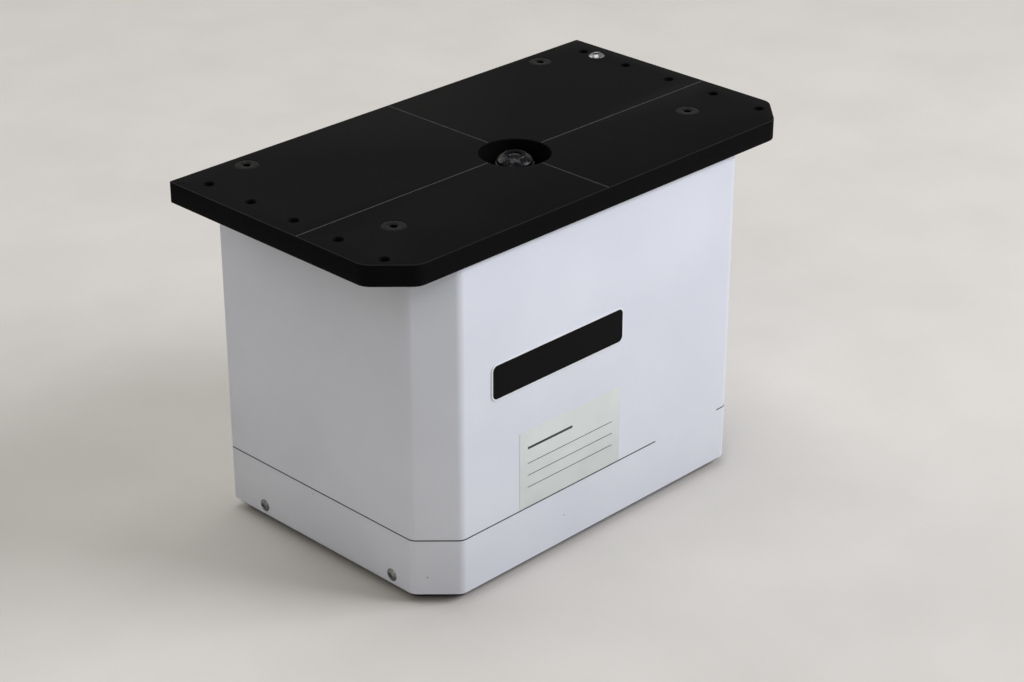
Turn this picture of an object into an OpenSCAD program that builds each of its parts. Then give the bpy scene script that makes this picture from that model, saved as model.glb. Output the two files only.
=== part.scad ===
// Compact inverted fluorescence microscope: white sheet housing under a wide black stage plate.
// Millimetres, +Z up, front towards -Y. The origin is on the bench, under the middle of the stage.

/* [Stage] */
// Length of the stage plate, left to right
stage_l = 235; // [222:1:260]
// Width of the stage plate, front to back
stage_w = 128; // [122:1:140]
// Thickness of the stage plate
stage_t = 9; // [7:0.5:12]
// Leg of the two front corner chamfers
stage_chamfer = 15; // [8:0.5:20]
// Leg of the two back corner chamfers
stage_back_chamfer = 0.5; // [0.5:0.5:5]
// Radius that softens the ends of the front chamfers
stage_corner_r = 7.5; // [1:0.5:9]
// Diameter of the opening for the objective
opening_d = 30; // [28:0.5:36]
// Optical axis in front of the stage's back edge
axis_back = 76; // [74:0.5:79]
// Width of the engraved cross lines
line_w = 0.6; // [0.4:0.1:1]
// Depth of the engraved cross lines
line_depth = 0.3; // [0.1:0.1:0.6]
// Tapping diameter of the accessory holes
hole_d = 4.2; // [3.3:0.1:5.1]
// Pitch of the accessory holes along each short edge
hole_pitch = 25.4; // [20:0.2:26]
// Number of accessory holes along each short edge
hole_count = 5; // [3:1:5]
// Centre of the accessory holes from the short edge
hole_edge = 9.5; // [7:0.5:12]
// Corner button screw in front of the last accessory hole
corner_screw_step = 8; // [7:0.5:10]

/* [Housing] */
// Height from the bench to the top of the stage
total_h = 157; // [153:1:180]
// Stage past the housing at each short end
overhang_side = 23; // [21:0.5:28]
// Stage past the housing at the front
overhang_front = 2; // [1:0.5:4]
// Stage past the housing at the back
overhang_back = 1; // [1:0.5:4]
// Sheet thickness of the cover and the rear panel
sheet_t = 1.5; // [1.5:0.1:2]
// Leg of the cover's front corner chamfers
cover_chamfer = 14.5; // [10:0.5:18]
// Outer radius of the cover's bends
bend_r = 5; // [3:0.5:8]
// Lower edge of the cover above the bench
cover_lift = 4; // [3.5:0.5:5]
// Side of the square pillars
pillar_w = 12; // [10:0.5:14]
// Pillar centre from the cover's side face
pillar_side = 9.7; // [9:0.1:11]
// Front pillar centre from the cover's front face
pillar_front = 31; // [28:0.5:36]
// Width of the name plate
name_w = 76; // [60:1:100]
// Height of the name plate
name_h = 16; // [10:1:20]
// Width of the paper label
label_w = 59.5; // [50:0.5:80]
// Height of the paper label
label_h = 35; // [24:1:36]

/* [Base] */
// Thickness of the base plate
base_t = 10; // [9:0.5:11]
// Height of the rubber feet
foot_h = 2.2; // [1.6:0.1:3]
// Diameter of the rubber feet
foot_d = 14; // [10:1:18]
// Cover screws above the cover's lower edge
cover_screw_up = 4.2; // [3:0.2:4.4]

/* [Focus drive] */
// Objective travel above its resting height
travel_up = 3; // [1:0.5:4]
// Objective travel below its resting height
travel_down = 7; // [5:0.5:8]
// Diameter of the guide rods
rod_d = 8; // [6:0.5:10]
// Distance between the guide rods
rod_spread = 48; // [44:1:56]
// Guide rods behind the optical axis
rod_setback = 32; // [31:0.5:34]
// Height of the carriage block
carriage_h = 30; // [28:1:34]
// Diameter of the drive shaft and the knob shaft
shaft_d = 5; // [4:0.2:5.4]
// Teeth of the knob pinion
pinion_teeth = 16; // [16:1:18]
// Teeth of the reduction gear
gear_teeth = 64; // [56:1:64]
// Module of the reduction pair
gear_module = 0.5; // [0.48:0.01:0.52]
// Teeth of the rack pinion
rack_pinion_teeth = 12; // [12:1:14]
// Module of the rack and its pinion
rack_module = 0.75; // [0.7:0.05:0.8]
// Diameter of the focus knob
knob_d = 36; // [28:1:44]
// Length of the focus knob
knob_l = 16; // [12:0.5:17]
// Flutes round the focus knob
knob_flutes = 30; // [18:1:40]

/* [Optics] */
// Objective from its shoulder to its tip
objective_l = 43.5; // [40:0.5:45]
// Diameter of the objective barrel
objective_d = 24; // [23:0.5:26]
// Diameter of the objective's front face
tip_d = 9.4; // [8:0.2:12]
// Objective tip below the top of the stage
tip_below = 0.5; // [0.5:0.1:3]
// Diameter of the objective's mounting thread
thread_d = 20.3; // [18:0.1:21]
// Side of the filter block, the mirror housing and the camera, as a share of the height
optic_share = 0.23; // [0.223:0.001:0.242]
// Wall of the optical housings
optic_wall = 4; // [3.5:0.25:4.5]
// Diameter of the filters and the collimator lens, as a share of the housings' side
filter_share = 0.69; // [0.64:0.01:0.72]
// Ledge round each filter, which leaves the clear aperture
filter_rim = 2; // [1.5:0.1:3.5]
// Thickness of the tube lens, as a share of its cell's height
tube_lens_share = 0.5; // [0.3:0.05:0.9]
// Length of the camera's lens tube
camera_tube_l = 16; // [12:1:18]
// Length of the camera body
camera_l = 32; // [24:1:34]
// Depth of the light source's heat sink
heat_sink_d = 14; // [11:0.5:18]
// Fins on the heat sink
fin_count = 7; // [5:1:9]

/* [Electronics] */
// Width of the control board
board_w = 100; // [96:1:120]
// Height of the control board
board_h = 70; // [60:1:80]
// Thickness of the circuit boards
board_t = 1.6; // [1:0.1:2]
// Control board from the rear panel
board_gap = 14; // [12:0.5:15]
// Width of the data socket
usb_w = 12; // [11:0.5:14]
// Height of the data socket
usb_h = 11; // [10:0.5:13]

/* [Hidden] */
$fn = 64;

// Clearances
fit = 0.05;
run = 0.03;
seat_gap = 0.2;
play = 2;
cut = 1;

// Screw sizes: shank, head and drive
m5_d = 5;
m5_head = 10.4;
m4_d = 4;
m4_head = 8;
m3_d = 3;
m3_head = 6;
cover_screw_d = 3;
cover_screw_head = 5.6;
corner_screw_d = 4;
corner_screw_head = 7.2;
small_screw_d = 2.5;
small_screw_head = 4.4;
stage_screw_l = 25;
pillar_screw_l = 25;
cover_screw_l = 9;
rear_screw_l = 9;
small_screw_l = 5;
thread_spare = 1.5;
end_wall = 1;
button_h_share = 0.2;
button_drive_share = 0.6;
button_floor_share = 0.4;
flat_drive_share = 0.7;

// Levels and faces of the housing
half_l = stage_l / 2;
half_w = stage_w / 2;
stage_z = total_h - stage_t;
cover_x = half_l - overhang_side;
cover_y0 = overhang_front - half_w;
cover_y1 = half_w - overhang_back;
inner_x = cover_x - sheet_t;
inner_y1 = cover_y1 - sheet_t;
base_top = foot_h + base_t;
pillar_x = cover_x - pillar_side;
pillar_y0 = cover_y0 + pillar_front;
pillar_y1 = inner_y1 - pillar_w / 2;
pillar_places = [for (x = [-pillar_x, pillar_x], y = [pillar_y0, pillar_y1]) [x, y]];
axis_y = half_w - axis_back;
hole_x = half_l - hole_edge;
hole_ys = [for (i = [0 : hole_count - 1]) (i - (hole_count - 1) / 2) * hole_pitch];
corner_screw_y = hole_ys[hole_count - 1] - corner_screw_step;
corner_screw_l = stage_t - thread_spare - end_wall;

// Cover screws stand clear of the pillar screws behind them
cover_screw_z = cover_lift + cover_screw_up;
cover_screw_front = 4.6;
cover_screw_back = 12.4;
cover_screw_ys = [pillar_y0 - cover_screw_front, pillar_y1 - cover_screw_back];
rear_screw_edge = 32;

// Feet stand clear of the screws under the base
foot_side = 14;
foot_front = 15.5;
foot_back = 8;
foot_edge = foot_h / 3;
foot_ys = [cover_y0 + foot_front, pillar_y1 - foot_back];
foot_places = [for (x = [-1, 1], y = foot_ys) [x * (pillar_x - foot_side), y]];

// Name plate and label on the front face
name_t = 0.6;
name_r = 3;
name_x = -26;
name_drop = 64.3;
name_z = total_h - name_drop;
label_t = 0.2;
label_x = -18.5;
label_drop = 110.1;
label_z = total_h - label_drop;

// Focus stage, from the objective's tip down
tip_z = total_h - tip_below;
shoulder_z = tip_z - objective_l;
holder_t = 10;
holder_w = 36;
holder_z = shoulder_z - holder_t;
carriage_drop = 7;
carriage_z = holder_z - carriage_drop;
rod_x = rod_spread / 2;
rod_y = axis_y + rod_setback;
bush_wall = 2;
bush_d = rod_d + 2 * (run + bush_wall);
bush_l = 10;
bush_cover = 4;
rod_relief = 1;
carriage_x = rod_x + bush_d / 2 + bush_cover;
carriage_y0 = rod_y - bush_d / 2 - bush_cover;
carriage_y1 = rod_y + bush_d / 2 + play;
shelf_t = 8;
shelf_gap = 3;
low_shelf_z = carriage_z - travel_down - shelf_gap - shelf_t;
high_shelf_z = carriage_z + carriage_h + travel_up + shelf_gap;
column_top = high_shelf_z + shelf_t;
column_y = carriage_y1 + shelf_gap;
column_t = 6;
column_edge = 4;
column_foot_h = 12;
column_screw_l = base_t + column_foot_h / 2;
column_screw_front = 6;
column_screw_back = 2;
column_screw_ys = [carriage_y0 + column_screw_front, column_y - column_screw_back];

// Gear train on two shafts that run to the right
tooth_angle = 25;
tooth_play = 0.1;
tooth_steps = 3;
dedendum = 1.25;
rack_w = 6;
rack_back = 4;
rack_screw_edge = 7;
rack_screw_l = rack_w + bush_cover - thread_spare;
rack_radius = rack_module * rack_pinion_teeth / 2;
bracket_plate = 4;
bracket_flange = 3.5;
bracket_gap = 3;
bracket_w = 18;
bracket_x0 = carriage_x + rack_w + bracket_gap;
bracket_x1 = bracket_x0 + bracket_w;
bracket_screw_l = bracket_flange + column_t / 2;
bracket_screw_in = 6.2;
bracket_screw_up = 4;
gear_in = 7;
gear_x = bracket_x0 + gear_in;
gear_w = 4;
gear_gap = 1;
gear_hub = 3.5;
gear_tip = gear_module * (gear_teeth / 2 + 1);
drive_y = column_y - bracket_flange - gear_gap - gear_tip;
drive_z = carriage_z + carriage_h / 2 + (travel_up - travel_down) / 2;
gear_centres = gear_module * (pinion_teeth + gear_teeth) / 2;
knob_y = drive_y;
knob_z = drive_z - gear_centres;
rack_y = drive_y + rack_radius;
bracket_edge = 9;
shaft_bush_d = shaft_d + 2 * bush_wall;
wall_bush_wall = 3;
wall_bush_d = shaft_d + 2 * wall_bush_wall;
wall_flange_rim = 2.5;
wall_flange_d = wall_bush_d + 2 * wall_flange_rim;
wall_flange_t = 1.5;
knob_gap = 1;
knob_x = cover_x + wall_flange_t + knob_gap;
knob_face = 2;
flute_depth = 0.7;
knob_screw_in = 5;
knob_screw_x = knob_x + knob_screw_in;
knob_screw_l = 6;
knob_screw_drive = 1.5;

// Objective, measured up from its shoulder
thread_l = 5;
barrel_h = 24;
nose_step = 1;
nose_root_d = objective_d - 2 * nose_step;
nose_waist_d = 16;
nose_waist_below = 3;
nose_bore_d = 12;
front_lens_d = 5.2;
front_lens_t = 2;
front_lens_recess = 0.25;
front_lens_ledge = 0.6;
grip_t = 1;
grip_z = 6;
grip_h = 8;
grip_ribs = 48;
grip_flute = 0.35;

// Optical housings, stacked on the base
optic_box = total_h * optic_share;
box_half = optic_box / 2;
filter_d = optic_box * filter_share;
aperture_d = filter_d - 2 * filter_rim;
cavity_half = box_half - optic_wall;
lid_t = 3;
filter_ledge = 1;
filter_t = optic_wall - filter_ledge;
fold_z = base_top + box_half;
fold_top = base_top + optic_box;
block_top = holder_z - travel_down - play;
block_z = block_top - box_half;
block_bottom = block_top - optic_box;
dichroic_t = 1.1;
fold_mirror_t = 3;
cell_wall = 3;
tube_lens_t = (block_bottom - fold_top) * tube_lens_share;
tube_wall = 1.5;
collimator_lens_t = 6;
camera_x = box_half + camera_tube_l;
sensor_x = camera_x + camera_l;
sensor_t = 2.5;
sensor_w = 14;
sensor_h = 12;
camera_screw_edge = 7;
optic_screw_l = base_t + optic_wall / 2;

// Light source, set in from the left pillars
pillar_clear = 1.3;
heat_sink_x = -(pillar_x - pillar_w / 2 - pillar_clear);
heat_sink_base = 4;
fin_t = 2;
led_board_x = heat_sink_x + heat_sink_d;
led_mount_x = led_board_x + board_t;
led_mount_t = 5;
tube_x = led_mount_x + led_mount_t;
led_tail = 9;
led_corner = 3;
led_foot_side = 12;
led_screw_l = led_mount_t + board_t + heat_sink_base - thread_spare - end_wall;
emitter_d = 5;
emitter_h = 2;
emitter_ring = 4.5;
emitter_angles = [90, 210, 330];
plug_w = 6;
plug_h = 8;
plug_t = 4;

// Control board behind the column
board_y = inner_y1 - board_gap - board_t;
board_lift = 10;
board_z = base_top + board_lift;
standoff_edge = 6;
standoff_x = board_w / 2 - standoff_edge;
standoff_zs = [board_z + standoff_edge, board_z + board_h - standoff_edge];
standoff_d = 5.6;
standoff_head_d = 4.6;
standoff_head_t = 1;
usb_x = 26;
usb_up = 22;
usb_z = board_z + usb_up;
usb_wall = 1.6;
usb_proud = 0.6;
usb_depth = 9;
tongue_w = 6;
tongue_h = 3.2;
tongue_back = 1;

// Chips on the board's inner face: place across, place up the board, width, height and thickness
chips = [[-14, 26, 14, 14, 1.4], [10, 28, 17, 17, 1.6], [32, 30, 10, 8, 1.2], [-32, 28, 8, 8, 3],
    [-10, 52, 22, 6, 1.8], [20, 52, 8, 8, 4]];

// Internal leads: each runs from plug to plug and leaves them along its two handles
lead_d = 3;
board_plug_in = 4;
camera_board_plug_up = 18;
led_board_plug_up = 48;
led_plug = [led_mount_x + plug_t / 2, axis_y + box_half + led_tail, block_z];
led_board_plug = [board_plug_in - board_w / 2, board_y - plug_t, board_z + led_board_plug_up];
led_handles = [[0, 16, 0], [0, -14, 0]];
camera_plug_side = 6;
camera_plug = [sensor_x + board_t + plug_t, axis_y + camera_plug_side, fold_z];
camera_board_plug = [board_w / 2 - board_plug_in, board_y - plug_t, board_z + camera_board_plug_up];
camera_handles = [[34, 0, 0], [0, -22, 0]];

// Points of one corner, rounded to a radius
corner_steps = 6;
function unit(v) = v / norm(v);
function corner(a, b, c, r) =
    let (u = unit(a - b), v = unit(c - b), half = acos(u * v) / 2)
    let (m = b + unit(u + v) * r / sin(half), p = b + u * r / tan(half), q = b + v * r / tan(half))
    let (a0 = atan2(p.y - m.y, p.x - m.x), turn = atan2(q.y - m.y, q.x - m.x) - a0)
    let (sweep = turn > 180 ? turn - 360 : turn < -180 ? turn + 360 : turn)
    r == 0 ? [b] : [for (k = [0 : corner_steps]) m + r * [cos(a0 + sweep * k / corner_steps),
        sin(a0 + sweep * k / corner_steps)]];
function rounded(points, radii) =
    let (n = len(points))
    [for (i = [0 : n - 1]) each corner(points[(i + n - 1) % n], points[i], points[(i + 1) % n], radii[i])];

// Housing outline, open to the back at y1 and set in from the cover's outer face
function housing(inset, y1) =
    let (x = cover_x - inset, y0 = cover_y0 + inset, leg = cover_chamfer - inset * (2 - sqrt(2)))
    let (r = bend_r - inset)
    rounded([[-x, y1], [-x, y0 + leg], [leg - x, y0], [x - leg, y0], [x, y0 + leg], [x, y1]],
        [0, r, r, r, r, 0]);

// Involute gear outline with one tooth centred on the turn angle
function involute(a) = tan(a) * 180 / PI - a;
function tooth_half(r, rp, rb, teeth) =
    90 / teeth - tooth_play / 4 / rp * 180 / PI + involute(tooth_angle) - involute(acos(rb / max(r, rb)));
function gear_points(teeth, module_size, turn) =
    let (rp = module_size * teeth / 2, rb = rp * cos(tooth_angle), tip = rp + module_size)
    let (root = rp - dedendum * module_size, low = max(root, rb))
    let (climb = [for (k = [0 : tooth_steps]) low + (tip - low) * k / tooth_steps])
    let (rs = root < rb ? concat([root], climb) : climb, last = len(rs) - 1)
    [for (i = [0 : teeth - 1], side = [-1, 1], k = [0 : last])
        let (r = rs[side < 0 ? k : last - k])
        let (a = turn + 360 * i / teeth + side * tooth_half(r, rp, rb, teeth))
        r * [cos(a), sin(a)]];

// Fluted outline of a grip
flute_steps = 6;
function flutes(d, count, depth) =
    [for (k = [0 : flute_steps * count - 1]) let (wave = 360 * k / flute_steps, a = wave / count)
        (d / 2 - depth * (1 - cos(wave)) / 2) * [cos(a), sin(a)]];

// Half outline of a dome that is r wide and h high
dome_steps = 8;
function dome(r, h) =
    let (sphere_r = (r * r + h * h) / (2 * h), top = asin(r / sphere_r))
    [for (k = [0 : dome_steps]) let (a = top * (1 - k / dome_steps))
        [sphere_r * sin(a), h - sphere_r * (1 - cos(a))]];

// Tube swept from p to q along a curve that stays near level and has the handles u and v
lead_sides = 8;
lead_steps = 10;
function lead_middle(p, u, q, v, t) =
    pow(1 - t, 3) * p + 3 * pow(1 - t, 2) * t * (p + u) + 3 * (1 - t) * t * t * (q + v) + pow(t, 3) * q;
function lead_way(p, u, q, v, t) =
    unit(pow(1 - t, 2) * u + 2 * (1 - t) * t * (q + v - p - u) - t * t * v);
function lead_points(p, u, q, v) =
    [for (i = [0 : lead_steps])
        let (t = i / lead_steps, way = lead_way(p, u, q, v, t), side = unit(cross(way, [0, 0, 1])))
        let (up = cross(side, way))
        for (k = [0 : lead_sides - 1]) let (a = 360 * k / lead_sides)
            lead_middle(p, u, q, v, t) + lead_d / 2 * (cos(a) * side + sin(a) * up)];
function lead_faces() = concat(
    [[for (k = [0 : lead_sides - 1]) k], [for (k = [lead_sides - 1 : -1 : 0]) lead_steps * lead_sides + k]],
    [for (i = [0 : lead_steps - 1], k = [0 : lead_sides - 1])
        let (a = i * lead_sides, b = (k + 1) % lead_sides)
            each [[a + k, a + lead_sides + k, a + b], [a + b, a + lead_sides + k, a + lead_sides + b]]]);
module lead(p, u, q, v) {
    polyhedron(lead_points(p, u, q, v), lead_faces());
}

// Shapes that repeat: blocks, bars along X and screws
module block(low, high) {
    translate(low)
        cube(high - low);
}
module bar_x(d, x0, x1, y, z) {
    translate([x0, y, z])
        rotate([0, 90, 0])
            cylinder(d = d, h = x1 - x0);
}
module profile_x(points, x0, width, y, z) {
    translate([x0, y, z])
        rotate([90, 0, 90])
            linear_extrude(width)
                polygon(points);
}

// Countersunk screw: its head's face is at the origin and its shank points to -Z
module flat_screw(d, head, length) {
    depth = (head - d) / 2;
    difference() {
        union() {
            translate([0, 0, -depth])
                cylinder(d1 = d, d2 = head, h = depth);
            translate([0, 0, -length])
                cylinder(d = d, h = length - depth);
        }
        translate([0, 0, -depth])
            cylinder(d = d * flat_drive_share, h = depth + cut, $fn = 6);
    }
}
module flat_screw_hole(d, head, length) {
    depth = (head - d) / 2;
    translate([0, 0, -depth])
        cylinder(d1 = d + 2 * fit, d2 = head + 2 * fit, h = depth);
    cylinder(d = head + 2 * fit, h = cut);
    translate([0, 0, -length - thread_spare])
        cylinder(d = d + 2 * fit, h = length + thread_spare - depth);
}

// Button-head screw: its seat is at the origin and its shank points to -Z
module button_screw(d, head, length) {
    head_h = head * button_h_share;
    difference() {
        union() {
            rotate_extrude()
                polygon(concat([[0, 0]], dome(head / 2, head_h)));
            translate([0, 0, -length])
                cylinder(d = d, h = length);
        }
        translate([0, 0, head_h * button_floor_share])
            cylinder(d = d * button_drive_share, h = head_h, $fn = 6);
    }
}
module screw_hole(d, length) {
    translate([0, 0, -length - thread_spare])
        cylinder(d = d + 2 * fit, h = length + thread_spare + cut);
}

// Places of the screws, used for the screws and for their holes
module at_pillars_top() {
    for (p = pillar_places)
        translate([p.x, p.y, total_h])
            children();
}
module at_pillars_bottom() {
    for (p = pillar_places)
        translate([p.x, p.y, foot_h])
            rotate([180, 0, 0])
                children();
}
module at_cover_sides() {
    for (side = [-1, 1], y = cover_screw_ys)
        translate([side * cover_x, y, cover_screw_z])
            rotate([0, 90 * side, 0])
                children();
}
module at_rear() {
    for (x = [-pillar_x, pillar_x], z = [base_top + rear_screw_edge, stage_z - rear_screw_edge])
        translate([x, cover_y1, z])
            rotate([-90, 0, 0])
                children();
    for (x = [-standoff_x, standoff_x], z = standoff_zs)
        translate([x, cover_y1, z])
            rotate([-90, 0, 0])
                children();
}
module at_column_foot() {
    for (x = [-rod_x, rod_x], y = column_screw_ys)
        translate([x, y, foot_h])
            rotate([180, 0, 0])
                children();
}
module at_optic_feet() {
    led_x = led_mount_x + led_mount_t / 2;
    feet = [[-cavity_half / 2, axis_y], [cavity_half / 2, axis_y], [camera_x + camera_screw_edge, axis_y],
        [sensor_x - camera_screw_edge, axis_y], [led_x, axis_y - led_foot_side],
        [led_x, axis_y + led_foot_side]];
    for (p = feet)
        translate([p.x, p.y, foot_h])
            rotate([180, 0, 0])
                children();
}
module at_rack() {
    y = rack_y + rack_module * dedendum + rack_back / 2;
    for (z = [rack_screw_edge, carriage_h - rack_screw_edge])
        translate([carriage_x + rack_w, y, carriage_z + z])
            rotate([0, 90, 0])
                children();
}
module at_bracket() {
    xs = [bracket_x0 + bracket_screw_in, bracket_x1 - bracket_screw_in];
    for (x = xs, z = [knob_z - bracket_screw_up, drive_z + bracket_screw_up])
        translate([x, column_y - bracket_flange, z])
            rotate([90, 0, 0])
                children();
}
module at_lids() {
    reach = box_half - optic_wall / 2;
    for (side = [-1, 1], up = [-1, 1], z = [fold_z, block_z])
        translate([side * reach, axis_y - box_half - lid_t, z + up * reach])
            rotate([90, 0, 0])
                children();
}
module at_sensor_board() {
    reach = box_half - optic_wall / 2;
    for (side = [-1, 1], up = [-1, 1])
        translate([sensor_x + board_t, axis_y + side * reach, fold_z + up * reach])
            rotate([0, 90, 0])
                children();
}
module at_led_corners() {
    reach = box_half - led_corner;
    for (side = [-1, 1])
        translate([tube_x, axis_y + side * reach, block_z - side * reach])
            rotate([0, 90, 0])
                children();
}

// Stage and housing
module stage_plate() {
    leg = stage_chamfer;
    back = stage_back_chamfer;
    r = stage_corner_r;
    outline = rounded([[back - half_l, half_w], [-half_l, half_w - back], [-half_l, leg - half_w],
        [leg - half_l, -half_w], [half_l - leg, -half_w], [half_l, leg - half_w], [half_l, half_w - back],
        [half_l - back, half_w]], [0, 0, r, r, r, r, 0, 0]);
    color("#202124")
        difference() {
            translate([0, 0, stage_z])
                linear_extrude(stage_t)
                    polygon(outline);
            translate([0, axis_y, stage_z - cut])
                cylinder(d = opening_d, h = stage_t + 2 * cut);
            for (x = [-hole_x, hole_x], y = hole_ys)
                translate([x, y, stage_z - cut])
                    cylinder(d = hole_d, h = stage_t + 2 * cut);
            translate([hole_x, corner_screw_y, total_h])
                screw_hole(corner_screw_d, corner_screw_l);
            at_pillars_top()
                flat_screw_hole(m5_d, m5_head, stage_screw_l);
            block([-half_l - cut, axis_y - line_w / 2, total_h - line_depth],
                [half_l + cut, axis_y + line_w / 2, total_h + cut]);
            block([-line_w / 2, -half_w - cut, total_h - line_depth],
                [line_w / 2, half_w + cut, total_h + cut]);
        }
}
module stage_screws() {
    color("#3a3b3f")
        at_pillars_top()
            flat_screw(m5_d, m5_head, stage_screw_l);
}
module corner_screw() {
    color("#d8d8d6")
        translate([hole_x, corner_screw_y, total_h])
            button_screw(corner_screw_d, corner_screw_head, corner_screw_l);
}
module wrap_cover() {
    color("#eceef2")
        difference() {
            translate([0, 0, cover_lift])
                linear_extrude(stage_z - cover_lift)
                    difference() {
                        polygon(housing(0, cover_y1));
                        polygon(housing(sheet_t, cover_y1 + cut));
                    }
            at_cover_sides()
                screw_hole(cover_screw_d, cover_screw_l);
            bar_x(wall_bush_d + 2 * fit, inner_x - cut, cover_x + cut, knob_y, knob_z);
        }
}
module cover_screws() {
    color("#d8d8d6")
        at_cover_sides()
            button_screw(cover_screw_d, cover_screw_head, cover_screw_l);
}
module rear_panel() {
    color("#eceef2")
        difference() {
            block([seat_gap - inner_x, inner_y1, cover_lift], [inner_x - seat_gap, cover_y1, stage_z]);
            at_rear()
                flat_screw_hole(m3_d, m3_head, rear_screw_l);
            block([usb_x - usb_w / 2 - seat_gap, inner_y1 - cut, usb_z - usb_h / 2 - seat_gap],
                [usb_x + usb_w / 2 + seat_gap, cover_y1 + cut, usb_z + usb_h / 2 + seat_gap]);
        }
}
module rear_screws() {
    color("#d8d8d6")
        at_rear()
            flat_screw(m3_d, m3_head, rear_screw_l);
}
module base_plate() {
    color("#26272a")
        difference() {
            translate([0, 0, foot_h])
                linear_extrude(base_t)
                    polygon(housing(sheet_t + seat_gap, inner_y1 - seat_gap));
            at_cover_sides()
                screw_hole(cover_screw_d, cover_screw_l);
            at_pillars_bottom()
                flat_screw_hole(m5_d, m5_head, pillar_screw_l);
            at_column_foot()
                flat_screw_hole(m4_d, m4_head, column_screw_l);
            at_optic_feet()
                flat_screw_hole(m3_d, m3_head, optic_screw_l);
        }
}
module pillars() {
    color("#b9bbbf")
        difference() {
            for (p = pillar_places)
                block([p.x - pillar_w / 2, p.y - pillar_w / 2, base_top],
                    [p.x + pillar_w / 2, p.y + pillar_w / 2, stage_z]);
            at_pillars_top()
                flat_screw_hole(m5_d, m5_head, stage_screw_l);
            at_pillars_bottom()
                flat_screw_hole(m5_d, m5_head, pillar_screw_l);
            at_rear()
                flat_screw_hole(m3_d, m3_head, rear_screw_l);
        }
}
module pillar_screws() {
    color("#3a3b3f")
        at_pillars_bottom()
            flat_screw(m5_d, m5_head, pillar_screw_l);
}
module rubber_feet() {
    r = foot_d / 2;
    profile = [[0, foot_h], [r, foot_h], [r, foot_edge], [r - foot_edge, 0], [0, 0]];
    color("#18181a")
        for (p = foot_places)
            translate([p.x, p.y, 0])
                rotate_extrude()
                    polygon(profile);
}
module name_plate() {
    x = name_w / 2;
    z = name_h / 2;
    r = name_r;
    color("#1b1b1d")
        translate([name_x, cover_y0, name_z])
            rotate([90, 0, 0])
                linear_extrude(name_t)
                    polygon(rounded([[-x, -z], [x, -z], [x, z], [-x, z]], [r, r, r, r]));
}
module paper_label() {
    color("#dfe6da")
        block([label_x - label_w / 2, cover_y0 - label_t, label_z - label_h / 2],
            [label_x + label_w / 2, cover_y0, label_z + label_h / 2]);
}

// Focus column, carriage and rack
module at_rods() {
    for (x = [-rod_x, rod_x])
        translate([x, rod_y, 0])
            children();
}
module focus_column() {
    color("#8f9196")
        difference() {
            union() {
                block([-carriage_x - column_edge, column_y, base_top],
                    [carriage_x + column_edge, column_y + column_t, column_top]);
                block([carriage_x, column_y, knob_z - bracket_edge],
                    [bracket_x1, column_y + column_t, drive_z + bracket_edge]);
                for (z = [low_shelf_z, high_shelf_z])
                    block([-carriage_x, carriage_y0, z], [carriage_x, column_y + cut, z + shelf_t]);
                block([-carriage_x, carriage_y0, base_top],
                    [carriage_x, column_y + cut, base_top + column_foot_h]);
            }
            at_rods()
                translate([0, 0, low_shelf_z - cut])
                    cylinder(d = rod_d + 2 * fit, h = column_top - low_shelf_z + 2 * cut);
            at_column_foot()
                flat_screw_hole(m4_d, m4_head, column_screw_l);
            at_bracket()
                flat_screw_hole(m3_d, m3_head, bracket_screw_l);
        }
}
module column_screws() {
    color("#3a3b3f")
        at_column_foot()
            flat_screw(m4_d, m4_head, column_screw_l);
}
module guide_rods() {
    color("#c9cbce")
        at_rods()
            translate([0, 0, low_shelf_z])
                cylinder(d = rod_d, h = column_top - low_shelf_z);
}
module focus_carriage() {
    color("#5a5d63")
        difference() {
            union() {
                block([-carriage_x, carriage_y0, carriage_z],
                    [carriage_x, carriage_y1, carriage_z + carriage_h]);
                block([-holder_w / 2, axis_y - holder_w / 2, holder_z],
                    [holder_w / 2, carriage_y0 + cut, shoulder_z]);
            }
            translate([0, axis_y, holder_z - cut])
                cylinder(d = thread_d + 2 * fit, h = holder_t + 2 * cut);
            at_rods()
                translate([0, 0, carriage_z - cut])
                    cylinder(d = rod_d + 2 * rod_relief, h = carriage_h + 2 * cut);
            at_rods()
                for (z = [carriage_z - cut, carriage_z + carriage_h - bush_l])
                    translate([0, 0, z])
                        cylinder(d = bush_d + 2 * fit, h = bush_l + cut);
            at_rack()
                screw_hole(small_screw_d, rack_screw_l);
        }
}
module carriage_bushes() {
    color("#b08d57")
        at_rods()
            for (z = [carriage_z, carriage_z + carriage_h - bush_l])
                translate([0, 0, z])
                    difference() {
                        cylinder(d = bush_d, h = bush_l);
                        translate([0, 0, -cut])
                            cylinder(d = rod_d + 2 * run, h = bush_l + 2 * cut);
                    }
}
module focus_rack() {
    pitch = PI * rack_module;
    tip = rack_y - rack_module;
    root = rack_y + dedendum * rack_module;
    half = pitch / 4 - tooth_play / 4;
    top = half - tan(tooth_angle) * rack_module;
    foot = half + tan(tooth_angle) * dedendum * rack_module;
    low = carriage_z;
    high = carriage_z + carriage_h;
    reach = floor(carriage_h / 2 / pitch) - 1;
    teeth = [for (k = [-reach : reach]) let (z = drive_z + k * pitch)
        each [[root, z - foot], [tip, z - top], [tip, z + top], [root, z + foot]]];
    color("#a4a6aa")
        difference() {
            profile_x(concat([[root + rack_back, low], [root, low]], teeth,
                [[root, high], [root + rack_back, high]]), carriage_x, rack_w, 0, 0);
            at_rack()
                screw_hole(small_screw_d, rack_screw_l);
        }
}
module rack_screws() {
    color("#3a3b3f")
        at_rack()
            button_screw(small_screw_d, rack_back, rack_screw_l);
}

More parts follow.
